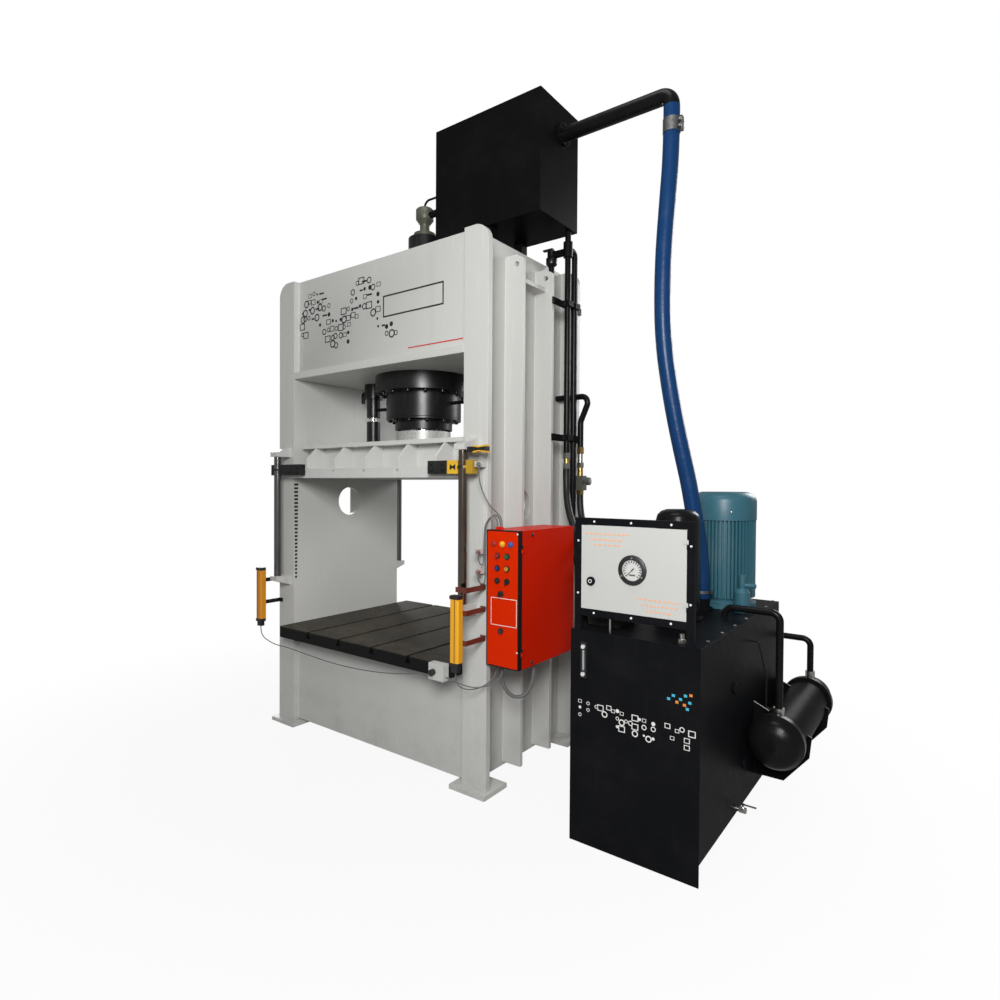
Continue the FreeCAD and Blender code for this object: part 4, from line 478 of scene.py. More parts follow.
# A scale of black bars on the inside of the left upright, narrower downwards,
# with an arrow head under it.
INK_ARROW = lathe("ink_arrow", [(0.0, 0.0), (1.0, 0.0), (1.0, INK), (0.0, INK)], 3, -pi / 2)
SCALE_BARS, SCALE_LOW, SCALE_HIGH, SCALE_Y = 25, 1.010, 1.600, -0.456
BAR_NARROW, BAR_SPREAD, BAR_TALL = 0.016, 0.017, 0.0145
ARROW_DROP, ARROW_SIZE = 0.026, (0.013, 0.014, 1.0)
RIGHT = (1.0, 0.0, 0.0)
scale_x, to_right = -WEB_IN + PRINT_LIFT, facing(RIGHT)
scale = [((scale_x, SCALE_Y, SCALE_LOW + (SCALE_HIGH - SCALE_LOW) * i / (SCALE_BARS - 1)), to_right,
          (BAR_NARROW + BAR_SPREAD * i / SCALE_BARS, BAR_TALL, 1.0)) for i in range(SCALE_BARS)]
repeated("scale_bars", INK_BAR, scale, ink_black, "black_paint")
repeated("scale_arrow", INK_ARROW, [((scale_x, SCALE_Y, SCALE_LOW - ARROW_DROP), to_right, ARROW_SIZE)],
         ink_black, "black_paint")

# ---- Bolster table ----
# A ground steel plate with four T-slots, dark with old oil and scale, its top
# rubbed brown between the slots and scratched by tools.
table = Finish("table_steel", (0.030, 0.026, 0.020), 0.5, specular_ior_level=0.10)
grinding = table.noise(150.0, 3.0, (1.0, 0.04, 1.0))
patches = table.noise(5.5, 8.0, roughness=0.72)
table.tint(table.step(patches, 0.40, 0.62) * 0.75, (0.072, 0.060, 0.043))
table.tint(table.step(table.noise(19.0, 6.0, roughness=0.7), 0.48, 0.66) * 0.75, (0.012, 0.010, 0.008))
table.tint(table.step(table.noise(75.0, 3.0), 0.60, 0.75) * 0.35, (0.105, 0.092, 0.078))
table.tint(table.step(grinding, 0.55, 0.75) * 0.10, (0.095, 0.088, 0.080))
# Below the top face, down the sides and in the slots, the plate is near black.
table.tint(1.0 - table.step(table.z, 0.670, 0.676), (0.007, 0.007, 0.007))
table.roughness = grinding * 0.12 + patches * 0.30 + 0.28
table.relief(grinding, 0.00005)
table.relief(table.noise(160.0), 0.00006)
dress("bolster_table", table.done(), edge=0.0015)

# ---- Cylinders ----
# The main cylinder hangs in the crown by its collar; its gland ring closes it
# below. Two slim pull-back cylinders stand beside it. All in black paint.


def round_circle(centre, axis, radius, count, wide, tall, start=0.0):
    """Places of heads, this wide and tall, evenly round a circle that faces along an axis."""
    turn = facing(axis)
    spin = turn.to_matrix()
    angles = [start + 2.0 * pi * i / count for i in range(count)]
    return [(Vector(centre) + spin @ Vector((radius * cos(a), radius * sin(a), 0.0)),
             turn, (wide, wide, tall)) for a in angles]


CAP_HEAD = lathe("cap_head", [(0.0, 0.0), (1.0, 0.0), (1.0, 0.85), (0.88, 1.0), (0.52, 1.0), (0.46, 0.55),
                              (0.0, 0.55)], 16)
cylinder_paint = sprayed("cylinder_black", (0.0065, 0.0065, 0.0070), 0.30, dust=0.03, scuffs=0.25,
                         shine=0.34).done()
for node in ("main_cylinder", "cylinder_gland"):
    dress(node, cylinder_paint, edge=0.002)
dress("pullback_cylinders", cylinder_paint, edge=0.0015)
DOWN = (0.0, 0.0, -1.0)
COLLAR_FACE, BARREL_FACE, GLAND_FACE = 2.190, 2.016, 1.955
PULL_X, PULL_FACE, PULL_CLEVIS, PULL_ROD_R = 0.482, 2.072, 2.045, 0.022
screws = round_circle((0, 0, COLLAR_FACE), DOWN, 0.278, 16, 0.013, 0.013)
screws += round_circle((0, 0, BARREL_FACE), DOWN, 0.215, 12, 0.011, 0.012, 0.2)
screws += round_circle((0, 0, GLAND_FACE), DOWN, 0.168, 12, 0.008, 0.008)
for side in (-1, 1):
    screws += round_circle((side * PULL_X, 0, PULL_FACE), DOWN, 0.038, 6, 0.005, 0.005)

# The ram and the pull-back rods are ground and chromed, and a little oily.
ground = Finish("ground_chrome", (0.60, 0.60, 0.60), 0.14, metallic=1.0)
ground.roughness = ground.noise(30.0, 4.0, (1.0, 1.0, 0.2)) * 0.16 + 0.07
ground.tint(ground.step(ground.noise(5.0, 5.0), 0.55, 0.8) * 0.4, (0.34, 0.30, 0.25))
ground.relief(ground.noise(300.0, 2.0, (0.1, 0.1, 1.0)), 0.00002)
chrome = ground.done()
dress("ram", chrome)
dress("pullback_rods", chrome, cylinder_paint,
      choose=lambda at, normal: at.z < PULL_CLEVIS and hypot(abs(at.x) - PULL_X, at.y) > PULL_ROD_R)

# The prefill valve stands on the cylinder's tail, in olive foundry paint.
olive = sprayed("valve_olive", (0.070, 0.075, 0.050), 0.42, peel=0.00012, mottle=0.12, dust=0.25)
dress("prefill_valve", olive.done())
repeated("cylinder_screws", CAP_HEAD, screws, cylinder_paint, "cylinder_black")

# ---- Slide ----
# A ribbed welded box on a thick face plate, painted as the frame is. The ram's
# flange is screwed to its top, and four blocks on its corners run on the rods.
slide_paint = sprayed("slide_grey", (0.560, 0.560, 0.540), 0.40, mottle=0.035, scuffs=0.15, shine=0.35)
slide_paint.tint(slide_paint.step(slide_paint.noise(9.0, 6.0, roughness=0.65), 0.60, 0.80) * 0.25,
                 (0.22, 0.20, 0.17))
slide_paint = slide_paint.done()
flange = Finish("ram_flange", (0.50, 0.50, 0.48), 0.45, metallic=0.2)
flange.tint(flange.step(flange.noise(130.0, 3.0), 0.52, 0.66) * 0.6, (0.16, 0.16, 0.155))
flange.roughness = flange.noise(60.0, 3.0) * 0.2 + 0.3
flange.relief(flange.noise(260.0, 2.0), 0.00005)
SLIDE_TOP, FLANGE_TOP, FLANGE_R, UP = 1.862, 1.945, 0.177, (0.0, 0.0, 1.0)
dress("slide_platen", slide_paint, flange.done(), edge=0.002,
      choose=lambda at, normal: at.z > SLIDE_TOP and hypot(at.x, at.y) < FLANGE_R)
repeated("ram_flange_screws", CAP_HEAD, round_circle((0, 0, FLANGE_TOP), UP, 0.161, 12, 0.008, 0.008),
         cylinder_paint, "cylinder_black", "slide")
HAZARD_YELLOW, MARK_BLACK, KEEPER_BRASS = (0.66, 0.40, 0.03), (0.010, 0.010, 0.010), (0.40, 0.24, 0.02)
MARK_LEFT, MARK_RIGHT, BLOCK_MIDDLE, KEEPER_X = 0.693, 0.767, 1.695, 0.814
BLOCK_FRONT, BLOCK_SCREW = 0.559, (0.0065, 0.0065, 0.0065)
blocks = sprayed("block_black", MARK_BLACK, 0.45, dust=0.06, shine=0.3)
front_half = blocks.y < 0.0
mark = (blocks.x > MARK_LEFT) * (blocks.x < MARK_RIGHT) * front_half
blocks.tint(mark, HAZARD_YELLOW)
from_middle = abs(blocks.x - (MARK_LEFT + MARK_RIGHT) / 2)
blocks.tint(mark * (from_middle < 0.019) * (abs(blocks.z - BLOCK_MIDDLE) < from_middle * 0.7 + 0.004),
            MARK_BLACK)
blocks.tint((blocks.x > KEEPER_X) * front_half, KEEPER_BRASS)
dress("guide_blocks", blocks.done(), edge=0.0015)
block_screws = [((side * x, y * BLOCK_FRONT, z), facing((0.0, y, 0.0)), BLOCK_SCREW)
                for side in (-1, 1) for y in (-1, 1) for x in (0.585, 0.662) for z in (1.680, 1.710)]
repeated("block_screws", CAP_HEAD, block_screws, cylinder_paint, "cylinder_black", "slide")

# The guide rods are chromed, their colour darkened as a painted reflection of a
# dark room, the right front one tinted brown, and stand in brackets on the flanges.
# Their base colour is darkened: a painted reflection of a dark room.
rods = Finish("guide_chrome", (0.24, 0.24, 0.245), 0.16, metallic=1.0)
rods.roughness = rods.noise(40.0, 4.0, (1.0, 1.0, 0.2)) * 0.14 + 0.08
# The right front rod is tinted brown.
rods.tint(rods.step(rods.x, 0.70, 0.75) * (rods.y < 0.0) * 0.6, (0.20, 0.13, 0.075))
rods.tint(rods.step(rods.noise(14.0, 5.0, (1.0, 1.0, 0.15)), 0.5, 0.75) * 0.6, (0.13, 0.11, 0.085))
rods.relief(rods.noise(300.0, 2.0, (0.1, 0.1, 1.0)), 0.00002)
dress("guide_rods", rods.done(), edge=0.001)
dress("rod_brackets", upright_paint, edge=0.0015)

# ---- Sensors and light guards ----
# Sensors in zinc sit on a rail by the right front rod, a striped one on top.
# The two light guards are yellow extrusions with moulded black ends, held by
# bent steel straps. The left one is darkened with painted shade.
steel = Finish("zinc_steel", (0.46, 0.45, 0.42), 0.35, metallic=1.0)
steel.tint(steel.step(steel.noise(40.0, 4.0), 0.5, 0.8) * 0.5, (0.30, 0.28, 0.25))
steel.roughness = steel.noise(60.0, 3.0) * 0.25 + 0.22
steel.relief(steel.noise(500.0, 2.0), 0.00002)
zinc = steel.done()
stripes = sprayed("bow_yellow", (0.66, 0.36, 0.02), 0.4, shine=0.4)
BOW_X, BOW_Z, BOW_LOW = 0.912, 1.783, 1.762
stripes.tint(abs(stripes.z - BOW_Z) < 0.0065 + abs(stripes.x - BOW_X) * 0.12, MARK_BLACK)
dress("proximity_sensors", zinc, stripes.done(), edge=0.0008, choose=lambda at, normal: at.z > BOW_LOW)
GUARD_X, GUARD_FACE, GUARD_SPAN = 0.842, -0.66, (0.7255, 1.0395)
yellow = sprayed("guard_yellow", (0.76, 0.36, 0.012), 0.35, scuffs=0.12, coat=0.2, shine=0.4)
# The left guard is painted a darker orange-brown: painted shade for its side turned from the light.
yellow.tint(1.0 - yellow.step(yellow.x, -0.1, 0.1), (0.60, 0.235, 0.010))
yellow.tint((abs(abs(yellow.x) - GUARD_X) < 0.0022) * (yellow.y < GUARD_FACE), (0.035, 0.020, 0.006))
plastic = Finish("black_plastic", (0.012, 0.012, 0.013), 0.45)
plastic.roughness = plastic.noise(30.0, 3.0) * 0.15 + 0.38
plastic.relief(plastic.noise(900.0, 2.0), 0.00003)
black_plastic = plastic.done()
dress("light_guards", yellow.done(), black_plastic, edge=0.001,
      choose=lambda at, normal: not GUARD_SPAN[0] < at.z < GUARD_SPAN[1] or abs(normal.z) > 0.9)
RAIL_LOW, ARM_LOW = 1.12, 1.765
strap_red = sprayed("strap_red", (0.105, 0.022, 0.012), 0.4, dust=0.1, scuffs=0.3).done()


def strap_finish(at, normal):
    """Right-hand straps red-brown, the sensors' rail and ears in frame paint, the rest black."""
    if at.z > ARM_LOW or at.x < 0.0:
        return 0
    return 2 if at.z > RAIL_LOW else 1


dress("sensor_brackets", cylinder_paint, strap_red, upright_paint, choose=strap_finish)

# ---- Control box ----
# A folded sheet-steel case bolted to the right upright, in red paint, with a
# hinged door on a black gasket. Lamps, buttons and switches sit in the door.
BOX_LEFT, BOX_RIGHT, BOX_LOW, BOX_HIGH, SEAM = 0.895, 1.095, 0.688, 1.378, 0.0065
box_middle = (BOX_LEFT + BOX_RIGHT) / 2
FRONT_GASKET = (-0.4605, -0.4520)
red = sprayed("box_red", (0.560, 0.012, 0.0005), 0.38, peel=0.00006, mottle=0.05, scuffs=0.05, shine=0.06)
red.tint((red.y > FRONT_GASKET[0]) * (red.y < FRONT_GASKET[1]), (0.010, 0.009, 0.009))
dress("control_box", red.done(), edge=0.0012)
door_red = sprayed("door_red", (0.580, 0.020, 0.0005), 0.38, peel=0.00006, mottle=0.05, scuffs=0.05,
                   shine=0.06)
door_edge = 1.0 - ((abs(door_red.x - box_middle) < (BOX_RIGHT - BOX_LEFT) / 2 - SEAM)
                   * (abs(door_red.z - (BOX_LOW + BOX_HIGH) / 2) < (BOX_HIGH - BOX_LOW) / 2 - SEAM))
door_red.tint(door_edge, (0.012, 0.010, 0.010))
DOOR_FACE, HINGE_SIDE = -0.481, 1.09
dress("control_door", door_red.done(), black_plastic, edge=0.0008,
      choose=lambda at, normal: at.y < DOOR_FACE - 0.0005 and at.x < HINGE_SIDE)
ink_white = ink("ink_white", (0.70, 0.70, 0.68))
door_print_y, LINE = DOOR_FACE - PRINT_LIFT, 0.003
DOOR_LINES = (0.926, 1.082, 0.901, 1.037)
x0, x1, z0, z1 = DOOR_LINES
frame_lines = [printed((x, door_print_y, (z0 + z1) / 2), LINE, z1 - z0) for x in (x0, x1)]
frame_lines += [printed(((x0 + x1) / 2, door_print_y, z), x1 - x0 + LINE, LINE) for z in (z0, z1)]
repeated("door_frame_lines", INK_BAR, frame_lines, ink_white, "panel_white", "box_door")
PAN_HEAD = lathe("pan_head", [(0.0, 0.0), (1.0, 0.0), (0.9, 0.35), (0.55, 0.55), (0.0, 0.62)], 14)
door_screws = [((1.086, DOOR_FACE, z), to_front, (0.0050, 0.0050, 0.0045)) for z in (1.362, 0.778)]
repeated("door_screws", PAN_HEAD, door_screws, ink_white, "panel_white", "box_door")
case_plugs = [((BOX_RIGHT, -0.362, z), to_right, (0.010, 0.010, 0.009)) for z in (1.353, 0.708)]
repeated("case_plugs", PAN_HEAD, case_plugs, black_plastic, "black_plastic")
gear = Finish("gear_grey", (0.30, 0.30, 0.29), 0.5)
gear.tint(gear.step(gear.noise(20.0), 0.5, 0.7) * 0.4, (0.10, 0.10, 0.10))
gear.relief(gear.noise(500.0), 0.00003)
dress("control_gear", gear.done())


def moulded(name, colour, roughness=0.28):
    """Glossy moulded plastic with a faint skin."""
    shell = Finish(name, colour, roughness, coat_weight=0.3, coat_roughness=0.15)
    shell.roughness = shell.noise(80.0, 3.0) * 0.15 + (roughness - 0.07)
    shell.tint(shell.step(shell.noise(40.0), 0.5, 0.8) * 0.3, [c * 0.8 for c in colour])
    shell.relief(shell.noise(600.0, 2.0), 0.00002)
    return shell.done()


# The lamps are red, yellow and blue from left to right.
lamp_lenses = [moulded("lamp_" + lens, colour) for lens, colour in (
    ("red", (0.32, 0.012, 0.008)), ("yellow", (0.72, 0.36, 0.02)), ("blue", (0.035, 0.075, 0.28)))]
LAMP_SPLITS = (0.9695, 1.0205)
dress("pilot_lamps", *lamp_lenses, choose=lambda at, normal: sum(at.x > split for split in LAMP_SPLITS))
for colour_name, colour in (("red", (0.30, 0.012, 0.010)), ("green", (0.010, 0.095, 0.030)),
                            ("blue", (0.012, 0.025, 0.120)), ("yellow", (0.42, 0.23, 0.015)),
                            ("black", (0.015, 0.015, 0.015))):
    dress("push_button_" + colour_name, moulded("button_" + colour_name, colour), edge=0.0006)
dress("selector_switch", black_plastic, edge=0.0006)
dark_zinc = Finish("dark_zinc", (0.14, 0.14, 0.14), 0.35, metallic=1.0)
dark_zinc.roughness = dark_zinc.noise(60.0, 3.0) * 0.25 + 0.25
dark_zinc.relief(dark_zinc.noise(500.0, 2.0), 0.00002)
dark_zinc = dark_zinc.done()
dress("key_switch", dark_zinc)
dress("door_lock", dark_zinc)

# ---- Overhead tank and pipes ----
# The oil tank is welded of thin plate and stands on legs above the crown. A
# flanged pipe with an elbow leads to the hose; two drop pipes run down the
# right upright in clamps, with turned brass and zinc fittings.
black_paint = sprayed("black_satin", (0.0050, 0.0051, 0.0055), 0.38, dust=0.012, shine=0.02).done()
black_gloss = sprayed("pipe_gloss", (0.0052, 0.0053, 0.0058), 0.28, dust=0.01, scuffs=0.1,
                      shine=0.12).done()
dress("top_tank", black_paint, edge=0.002)
dress("return_pipe", black_gloss)
HEX_HEAD = lathe("hex_head", [(0.0, 0.0), (1.0, 0.0), (1.0, 0.58), (0.9, 0.66), (0.0, 0.66)], 6)
RETURN_Y, RETURN_Z, RETURN_FLANGE = 0.148, 3.628, 0.968
flange_screws = round_circle((RETURN_FLANGE, RETURN_Y, RETURN_Z), RIGHT, 0.050, 6, 0.007, 0.009)
repeated("return_flange_screws", HEX_HEAD, flange_screws, black_paint, "black_paint")
dress("rigid_pipes", black_gloss)
band = Finish("band_steel", (0.22, 0.22, 0.22), 0.4, metallic=1.0)
band.roughness = band.noise(50.0, 3.0) * 0.3 + 0.3
band.tint(band.step(band.noise(30.0, 4.0), 0.5, 0.8) * 0.5, (0.12, 0.11, 0.10))
HOSE_BANDS_FROM, DROP_PIPES_TO, RING_PITCH = 1.2, 1.0, 0.06
dress("clamps", black_paint, band.done(), choose=lambda at, normal: at.x > HOSE_BANDS_FROM)
brass = Finish("brass", (0.55, 0.38, 0.12), 0.3, metallic=1.0)
brass.tint(brass.step(brass.noise(50.0, 4.0), 0.5, 0.75) * 0.6, (0.28, 0.19, 0.08))
brass.roughness = brass.noise(70.0, 3.0) * 0.25 + 0.2
brass = brass.done()
dress("pipe_fittings", zinc, brass,
      choose=lambda at, normal: at.x < DROP_PIPES_TO and at.z % RING_PITCH < RING_PITCH / 2)
BOLT_X, BOLT_OUT, BOLT_HEIGHTS = 1.652, 0.014, (3.444, 3.478)
pinch_bolts = [((BOLT_X, RETURN_Y + y, z), facing((0.0, y, 0.0)), (0.0085, 0.0085, 0.014))
               for y in (-BOLT_OUT, BOLT_OUT) for z in BOLT_HEIGHTS]
repeated("pinch_bolts", HEX_HEAD, pinch_bolts, zinc, "fitting_zinc")
dress("stop_valve_lever", black_plastic)

# ---- Power pack ----
# A welded tank in black paint under a screwed cover with the domed filter and
# the motor on its pump. The panel stands in front, the cooler on the right.
PACK_TOP, PACK_FRONT = 0.958, -0.536
pack_paint = sprayed("pack_black", (0.0062, 0.0065, 0.0078), 0.38, dust=0.012, scuffs=0.06,
                     shine=0.02).done()
dress("pack_tank", pack_paint, edge=0.002)
silver = moulded("silver_cap", (0.62, 0.62, 0.60), 0.25)
CAP_X, CAP_Y, CAP_R = 1.914, -0.484, 0.03
dress("tank_cover", pack_paint, silver, edge=0.0015,
      choose=lambda at, normal: at.z > PACK_TOP + 0.001 and hypot(at.x - CAP_X, at.y - CAP_Y) < CAP_R)
dress("panel_frame", pack_paint, edge=0.001)
white = sprayed("panel_white", (0.490, 0.495, 0.475), 0.34, mottle=0.03, shine=0.4)
dress("panel_door", white.done(), edge=0.0008)
ink_orange = ink("ink_orange", (0.80, 0.36, 0.16))
pack_print_y = PACK_FRONT - PRINT_LIFT
DASH_ROWS, DASH_DROP, DASH_INDENT, DASH_GAP, DASH_TALL = 3, 0.024, 0.021, 0.007, 0.0055
dashes = []
for left, right, height in ((1.492, 1.690, 1.392), (1.735, 1.930, 1.128)):
    for row in range(DASH_ROWS):
        x = left + row * DASH_INDENT
        while x < right - 0.02 * row:
            length = draw.uniform(0.008, 0.020)
            z = height - DASH_DROP * row + draw.uniform(-0.002, 0.002)
            dashes.append(printed((x + length / 2, pack_print_y, z), length, DASH_TALL))
            x += length + DASH_GAP
repeated("panel_dashes", INK_BAR, dashes, ink_orange, "guard_yellow", "instrument_door")
panel_screws = [((x, PACK_FRONT, z), to_front, (0.0052, 0.0052, 0.005)) for x, z in (
    (1.534, 1.445), (1.708, 1.445), (1.884, 1.445), (1.4555, 1.358), (1.4555, 1.124), (1.9665, 1.363),
    (1.9665, 1.128), (1.535, 1.042), (1.712, 1.042), (1.886, 1.042))]
repeated("panel_screws", PAN_HEAD, panel_screws, ink_white, "panel_white")

# The pressure gauge is a moulded case with a printed dial, held by three screws.
GAUGE_X, GAUGE_Z, GAUGE_FACE, DIAL_R = 1.716, 1.246, -0.5385, 0.0455
dial = Finish("gauge_dial", (0.55, 0.55, 0.53), 0.35)
across, up = dial.x - GAUGE_X, dial.z - GAUGE_Z
out = dial.node("ShaderNodeMath", {"operation": "SQRT"}, [across * across + up * up])
bearing = dial.node("ShaderNodeMath", {"operation": "ARCTAN2"}, [across, up])
ticks = ((bearing + pi / 20) % (pi / 10) < pi / 30) * (out > 0.030) * (out < 0.040)
scaled = abs(bearing) < 2.45
dial.tint(ticks * scaled, (0.02, 0.02, 0.02))
dial.tint((out > 0.0395) * (out < 0.0408) * scaled, (0.02, 0.02, 0.02))
dial.tint((abs(up + 0.021) < 0.0035) * (abs(across) < 0.014), (0.10, 0.10, 0.10))
dial.roughness = dial.noise(120.0, 2.0) * 0.1 + 0.3
dial.relief(dial.noise(500.0, 2.0), 0.00001)
dress("pressure_gauge", black_plastic, dial.done(), edge=0.0005,
      choose=lambda at, normal: (abs(at.y - GAUGE_FACE) < 0.001
                                 and hypot(at.x - GAUGE_X, at.z - GAUGE_Z) < DIAL_R))
repeated("gauge_screws", CAP_HEAD,
         round_circle((GAUGE_X, -0.5445, GAUGE_Z), FRONT, 0.0525, 3, 0.0042, 0.003, pi / 2),
         zinc, "fitting_zinc", "instrument_door")
dress("gauge_needle", black_plastic)
dress("panel_lock", pack_paint)
repeated("lock_ring", INK_RING, [printed((1.522, -0.5493, 1.183), 0.009)], ink_white, "panel_white",
         "instrument_lock")

# The tank's front carries a band of printed rings, frames and dots in white,
# with a few small squares in cyan and orange above its right end.
BAND_COLUMNS, BAND_ROWS, BAND_STEP, BAND_SINK = 27, 3, (0.0203, 0.034), 0.030
BAND_LEFT, BAND_HIGH = 1.450, 0.640
rings, frames, dots = [], [], []
for column in range(BAND_COLUMNS):
    x = BAND_LEFT + column * BAND_STEP[0]
    for row in range(BAND_ROWS):
        if draw.random() < 0.38 + 0.12 * row:
            continue
        kind, size = draw.random(), draw.choice((0.008, 0.011, 0.014))
        z = BAND_HIGH - BAND_STEP[1] * row - BAND_SINK * (column / BAND_COLUMNS)
        point = (x, pack_print_y, z + draw.uniform(-STRAY, STRAY))
        if kind < 0.40:
            rings.append(printed(point, size))
        elif kind < 0.72:
            frames.append(printed(point, size * 2.2, size * 1.9))
        else:
            dots.append(printed(point, size * 0.6))
for kind, form, places in (("rings", INK_RING, rings), ("frames", INK_FRAME, frames),
                           ("dots", INK_DOT, dots)):
    repeated("pack_" + kind, form, places, ink_white, "panel_white")
for ink_name, colour, slot, places in (
        ("cyan", (0.05, 0.40, 0.55), "hose_blue",
         ((1.950, 0.760), (1.968, 0.735), (1.930, 0.742), (1.958, 0.708), (1.900, 0.752), (1.880, 0.735))),
        ("orange", (0.70, 0.22, 0.03), "guard_yellow", ((1.972, 0.766), (1.946, 0.722), (1.915, 0.728)))):
    repeated("pack_squares_" + ink_name, INK_BAR,
             [printed((x, pack_print_y, z), 0.013, 0.011) for x, z in places],
             ink("ink_" + ink_name, colour), slot)

# On the cover: a turned plug under the panel, the filters, and bolts on two edges.
PLUG = lathe("plug", [(0.0, 0.0), (0.019, 0.0), (0.019, 0.013), (0.013, 0.016), (0.013, 0.062),
                      (0.010, 0.066), (0.0, 0.066)], 18)
to_top = facing(UP)
repeated("cover_plug", PLUG, [((1.448, -0.456, PACK_TOP), to_top, (1.0, 1.0, 1.0))], black_paint,
         "black_paint")
dress("tank_filters", black_gloss)
rows = [(1.994, -0.40 + 0.19 * i) for i in range(6)] + [(1.470 + 0.17 * i, 0.760) for i in range(4)]
cover_bolts = [((x, y, PACK_TOP), to_top, (0.0075, 0.0075, 0.008)) for x, y in rows]
repeated("cover_bolts", HEX_HEAD, cover_bolts, zinc, "fitting_zinc")
LEVEL_FACE = -0.5545
dress("level_gauge", black_plastic, silver, choose=lambda at, normal: at.y < LEVEL_FACE)
repeated("sight_tubes", INK_BAR, [printed((1.495, LEVEL_FACE + 0.0004, 0.830), 0.009, 0.088)],
         moulded("sight_tube", (0.30, 0.33, 0.31), 0.2), "level_glass")

# The motor is a finned casting with a pressed cowl over its fan, all in teal.
MOTOR_X, MOTOR_Y, COWL_R, COWL_SCREW_Z = 1.780, 0.505, 0.1683, 1.470
teal = sprayed("motor_teal", (0.032, 0.120, 0.160), 0.36, peel=0.0001, mottle=0.10, dust=0.10, scuffs=0.1,
               shine=0.35).done()
dress("motor_frame", teal)
dress("motor_cowl", teal)
cowl_screws = [((MOTOR_X + COWL_R * cos(a), MOTOR_Y + COWL_R * sin(a), COWL_SCREW_Z),
                facing((cos(a), sin(a), 0.0)), (0.006, 0.006, 0.006))
               for a in (-1.05, 0.52, 2.09, 3.66)]
repeated("cowl_screws", PAN_HEAD, cowl_screws, zinc, "fitting_zinc")
STOP_VALVE_LOW, PACK_SIDE = 2.5, 1.5
valve_grey = sprayed("valve_grey", (0.060, 0.062, 0.050), 0.45, peel=0.0001, mottle=0.1, dust=0.2).done()
dress("valve_bodies", valve_grey, cylinder_paint, teal, edge=0.001,
      choose=lambda at, normal: 1 if at.z > STOP_VALVE_LOW else 2 * (at.x > PACK_SIDE))
rotor = dress("motor_rotor", zinc)
# The shaft's skin is a hair slimmer, so that its facets clear the bearings as it turns.
SHAFT_AXIS, SHAFT_SKIN, SHAFT_EASE = Vector((MOTOR_X, MOTOR_Y)), 0.0195, 0.985
for vertex in rotor.data.vertices:
    from_axis = vertex.co.xy - SHAFT_AXIS
    if from_axis.length < SHAFT_SKIN:
        vertex.co.xy = SHAFT_AXIS + from_axis * SHAFT_EASE
dress("pump_unit", valve_grey)
# The manifold shows only in the gap under the panel and is painted near black, as painted shade for that
# gap.
manifold_dark = sprayed("manifold_dark", (0.016, 0.017, 0.015), 0.45, peel=0.0001, mottle=0.1, dust=0.12,
                        shine=0.3)
dress("control_manifold", manifold_dark.done(), edge=0.001)

# The oil cooler is a tube shell between two bolted, domed ends.
COOLER_X, COOLER_Z, SHELL_R, SHELL_ENDS = 2.148, 0.413, 0.112, (0.132, 0.823)
BACK = (0.0, 1.0, 0.0)
dress("oil_cooler", black_gloss, black_paint,
      choose=lambda at, normal: (SHELL_ENDS[0] < at.y < SHELL_ENDS[1]
                                 and hypot(at.x - COOLER_X, at.z - COOLER_Z) < SHELL_R))
cooler_bolts = []
for y, axis in ((0.131, BACK), (0.824, FRONT), (0.860, BACK)):
    cooler_bolts += round_circle((COOLER_X, y, COOLER_Z), axis, 0.1185, 12, 0.006, 0.009)
repeated("cooler_bolts", HEX_HEAD, cooler_bolts, black_gloss, "black_paint")
dress("drain_lever", zinc)
JUNCTION_FACE = -0.6252
dress("junction_block", moulded("junction_white", (0.50, 0.50, 0.48), 0.45), black_plastic, edge=0.001,
      choose=lambda at, normal: at.y < JUNCTION_FACE)

# ---- Hoses and leads ----
# The blue rubber hose hangs from the return pipe to the tank. Three pressure
# hoses join the drop pipes to the manifold. Grey leads join guards and sensors
# to the control box, and a conduit loops under it.


def lead(name, points, radius, finish, node):
    """A cord or hose along given points, in metres."""
    curve = bpy.data.curves.new(name, "CURVE")
    curve.dimensions, curve.bevel_depth, curve.bevel_resolution = "3D", radius, 6
    curve.use_fill_caps, curve.resolution_u = True, 12
    spline = curve.splines.new("NURBS")
    spline.points.add(len(points) - 1)
    for point, place in zip(spline.points, points):
        point.co = (*place, 1.0)
    spline.order_u = 3
    spline.use_endpoint_u = True
    curve.materials.append(finish)
    piece = bpy.data.objects.new(name, curve)
    place_piece(piece, "press", slot_of[node], node)
    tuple(points[0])


def rubber(name, colour, roughness, bloom):
    """Smooth hose cover, handled and dusty in places."""
    skin = Finish(name, colour, roughness, specular_ior_level=0.25)
    handled = skin.step(skin.noise(9.0, 5.0, roughness=0.65), 0.45, 0.8)
    skin.tint(handled * bloom, [c * 0.8 + 0.02 for c in colour])
    skin.roughness = handled * 0.25 + roughness
    skin.relief(skin.noise(26.0, 3.0, (1.0, 1.0, 2.2)), 0.0012)
    skin.relief(skin.noise(260.0, 2.0), 0.00008)
    return skin.done()


hose_blue = rubber("hose_blue", (0.003, 0.036, 0.125), 0.30, 0.15)
hose_black = rubber("hose_black", (0.012, 0.012, 0.013), 0.40, 0.35)
lead_grey = rubber("lead_grey", (0.13, 0.13, 0.13), 0.45, 0.3)
RETURN_HOSE = (
    (1.600, 0.148, 3.564), (1.600, 0.148, 3.335), (1.586, 0.134, 3.065), (1.572, 0.122, 2.790),
    (1.570, 0.121, 2.516), (1.579, 0.129, 2.320), (1.601, 0.149, 2.124), (1.627, 0.171, 1.945),
    (1.655, 0.195, 1.780), (1.684, 0.222, 1.620), (1.708, 0.244, 1.440), (1.730, 0.264, 1.275),
    (1.740, 0.274, 1.130), (1.740, 0.274, 1.019))
lead("return_hose", RETURN_HOSE, 0.042, hose_blue, "blue_hose")

